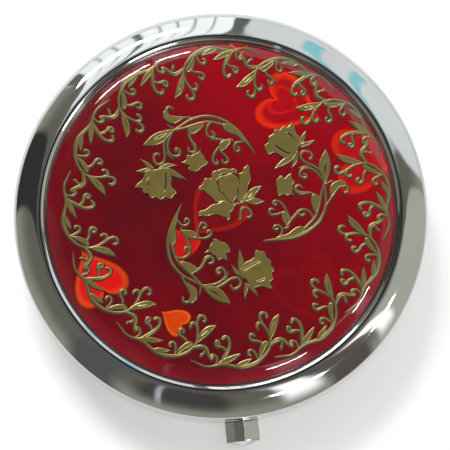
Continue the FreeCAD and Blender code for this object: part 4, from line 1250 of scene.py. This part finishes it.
# %% Latch spring
STRIP = 0.2 * MM
BOW_STEPS = 48
low, high = (Vector(corner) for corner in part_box("latch_spring"))
half_span = (high.x - low.x) / 2
rise = high.y - low.y
bow_radius = (half_span ** 2 + rise ** 2) / (2 * rise)
bow_middle = (0, high.y - bow_radius, (low.z + high.z) / 2)
half_turn = math.atan2(half_span, bow_radius - rise)
start = math.pi / 2 + half_turn
end_radius = bow_radius - STRIP / 2
end_place = Vector(bow_middle) + Vector((math.cos(start), math.sin(start), 0)) * end_radius
bpy.ops.object.select_all(action="DESELECT")
bpy.ops.mesh.primitive_plane_add(size=1, location=end_place, rotation=(math.pi / 2, 0, start))
spring = bpy.context.object
spring.name = "bow_spring"
spring.scale = (STRIP, high.z - low.z, 1)
apply_moves()
bpy.ops.object.mode_set(mode="EDIT")
bpy.ops.mesh.select_all(action="SELECT")
bpy.ops.mesh.spin(steps=BOW_STEPS, angle=2 * half_turn, center=bow_middle, axis=(0, 0, 1))
bpy.ops.mesh.select_all(action="SELECT")
bpy.ops.mesh.remove_doubles(threshold=0.000001)
bpy.ops.mesh.normals_make_consistent(inside=False)
bpy.ops.object.mode_set(mode="OBJECT")
for vertex in spring.data.vertices:
    vertex.co.y = max(vertex.co.y, low.y)
bpy.ops.object.shade_smooth_by_angle(angle=math.radians(SMOOTH_ANGLE))
spring.data.materials.append(tempered)
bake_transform(spring)
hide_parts("latch_spring")
print(spring.name, "faces:", len(spring.data.polygons), "rise:", round(rise / MM, 2), "mm")

# %% [markdown]
# A mirror is glass silvered on its back. Its face is the cleanest surface of the whole piece: only a breath
# of haze in patches, and a faint green at the very edge where one looks into the glass.

# %% Mirror finish
SILVER = (0.77, 0.785, 0.78)
EDGE_GREEN = (0.42, 0.53, 0.49)
GLASS_EDGE = (0.0264, 0.027)
silvered, shader = new_finish("silvered_glass")
tree = silvered.node_tree
rim = soft_step(tree, reach(tree), *GLASS_EDGE)
silver = colour_between(tree, rim, SILVER, EDGE_GREEN)
haze = spread(tree, noise(tree, 0.011, 4.0), 0.004, 0.03)
feed_all(tree, shader, Metallic=1.0, Base_Color=silver, Roughness=haze)
rounded_bump(tree, shader, noise(tree, 0.02, 1.0), 0.000002)
dress(silvered, "base_mirror", "lid_mirror")

# %% [markdown]
# The mirrors are stuck down on squares of foam tape, which only a dismantled compact shows. Foam is matt and
# full of small pores.

# %% Foam finish
FOAM_TONES = ((0.5, 0.5, 0.48), (0.78, 0.78, 0.76))
PORES_PER_METRE = 4000.0
foam, shader = new_finish("foam_tape")
tree = foam.node_tree
pores = add_node(tree, "ShaderNodeTexVoronoi", Vector=object_place(tree), Scale=PORES_PER_METRE)
pores = pores.outputs["Distance"]
foam_colour = colour_between(tree, pores, *FOAM_TONES)
feed_all(tree, shader, Base_Color=foam_colour, Roughness=spread(tree, noise(tree, 0.001, 2.0), 0.8, 0.95))
bump(tree, shader, pores, 0.00006)
dress(foam, "base_mirror_pad", "lid_mirror_pad")

# %% [markdown]
# Last, the box round the imported model and the box round the dressed one are printed, so that they can be
# compared.

# %% Record both boxes and finish
visual_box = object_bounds()
boxes = {"cad": cad_box, "visual": visual_box}
for name, box in boxes.items():
    print(name, "box:", [[round(x, 4) for x in corner] for corner in box])
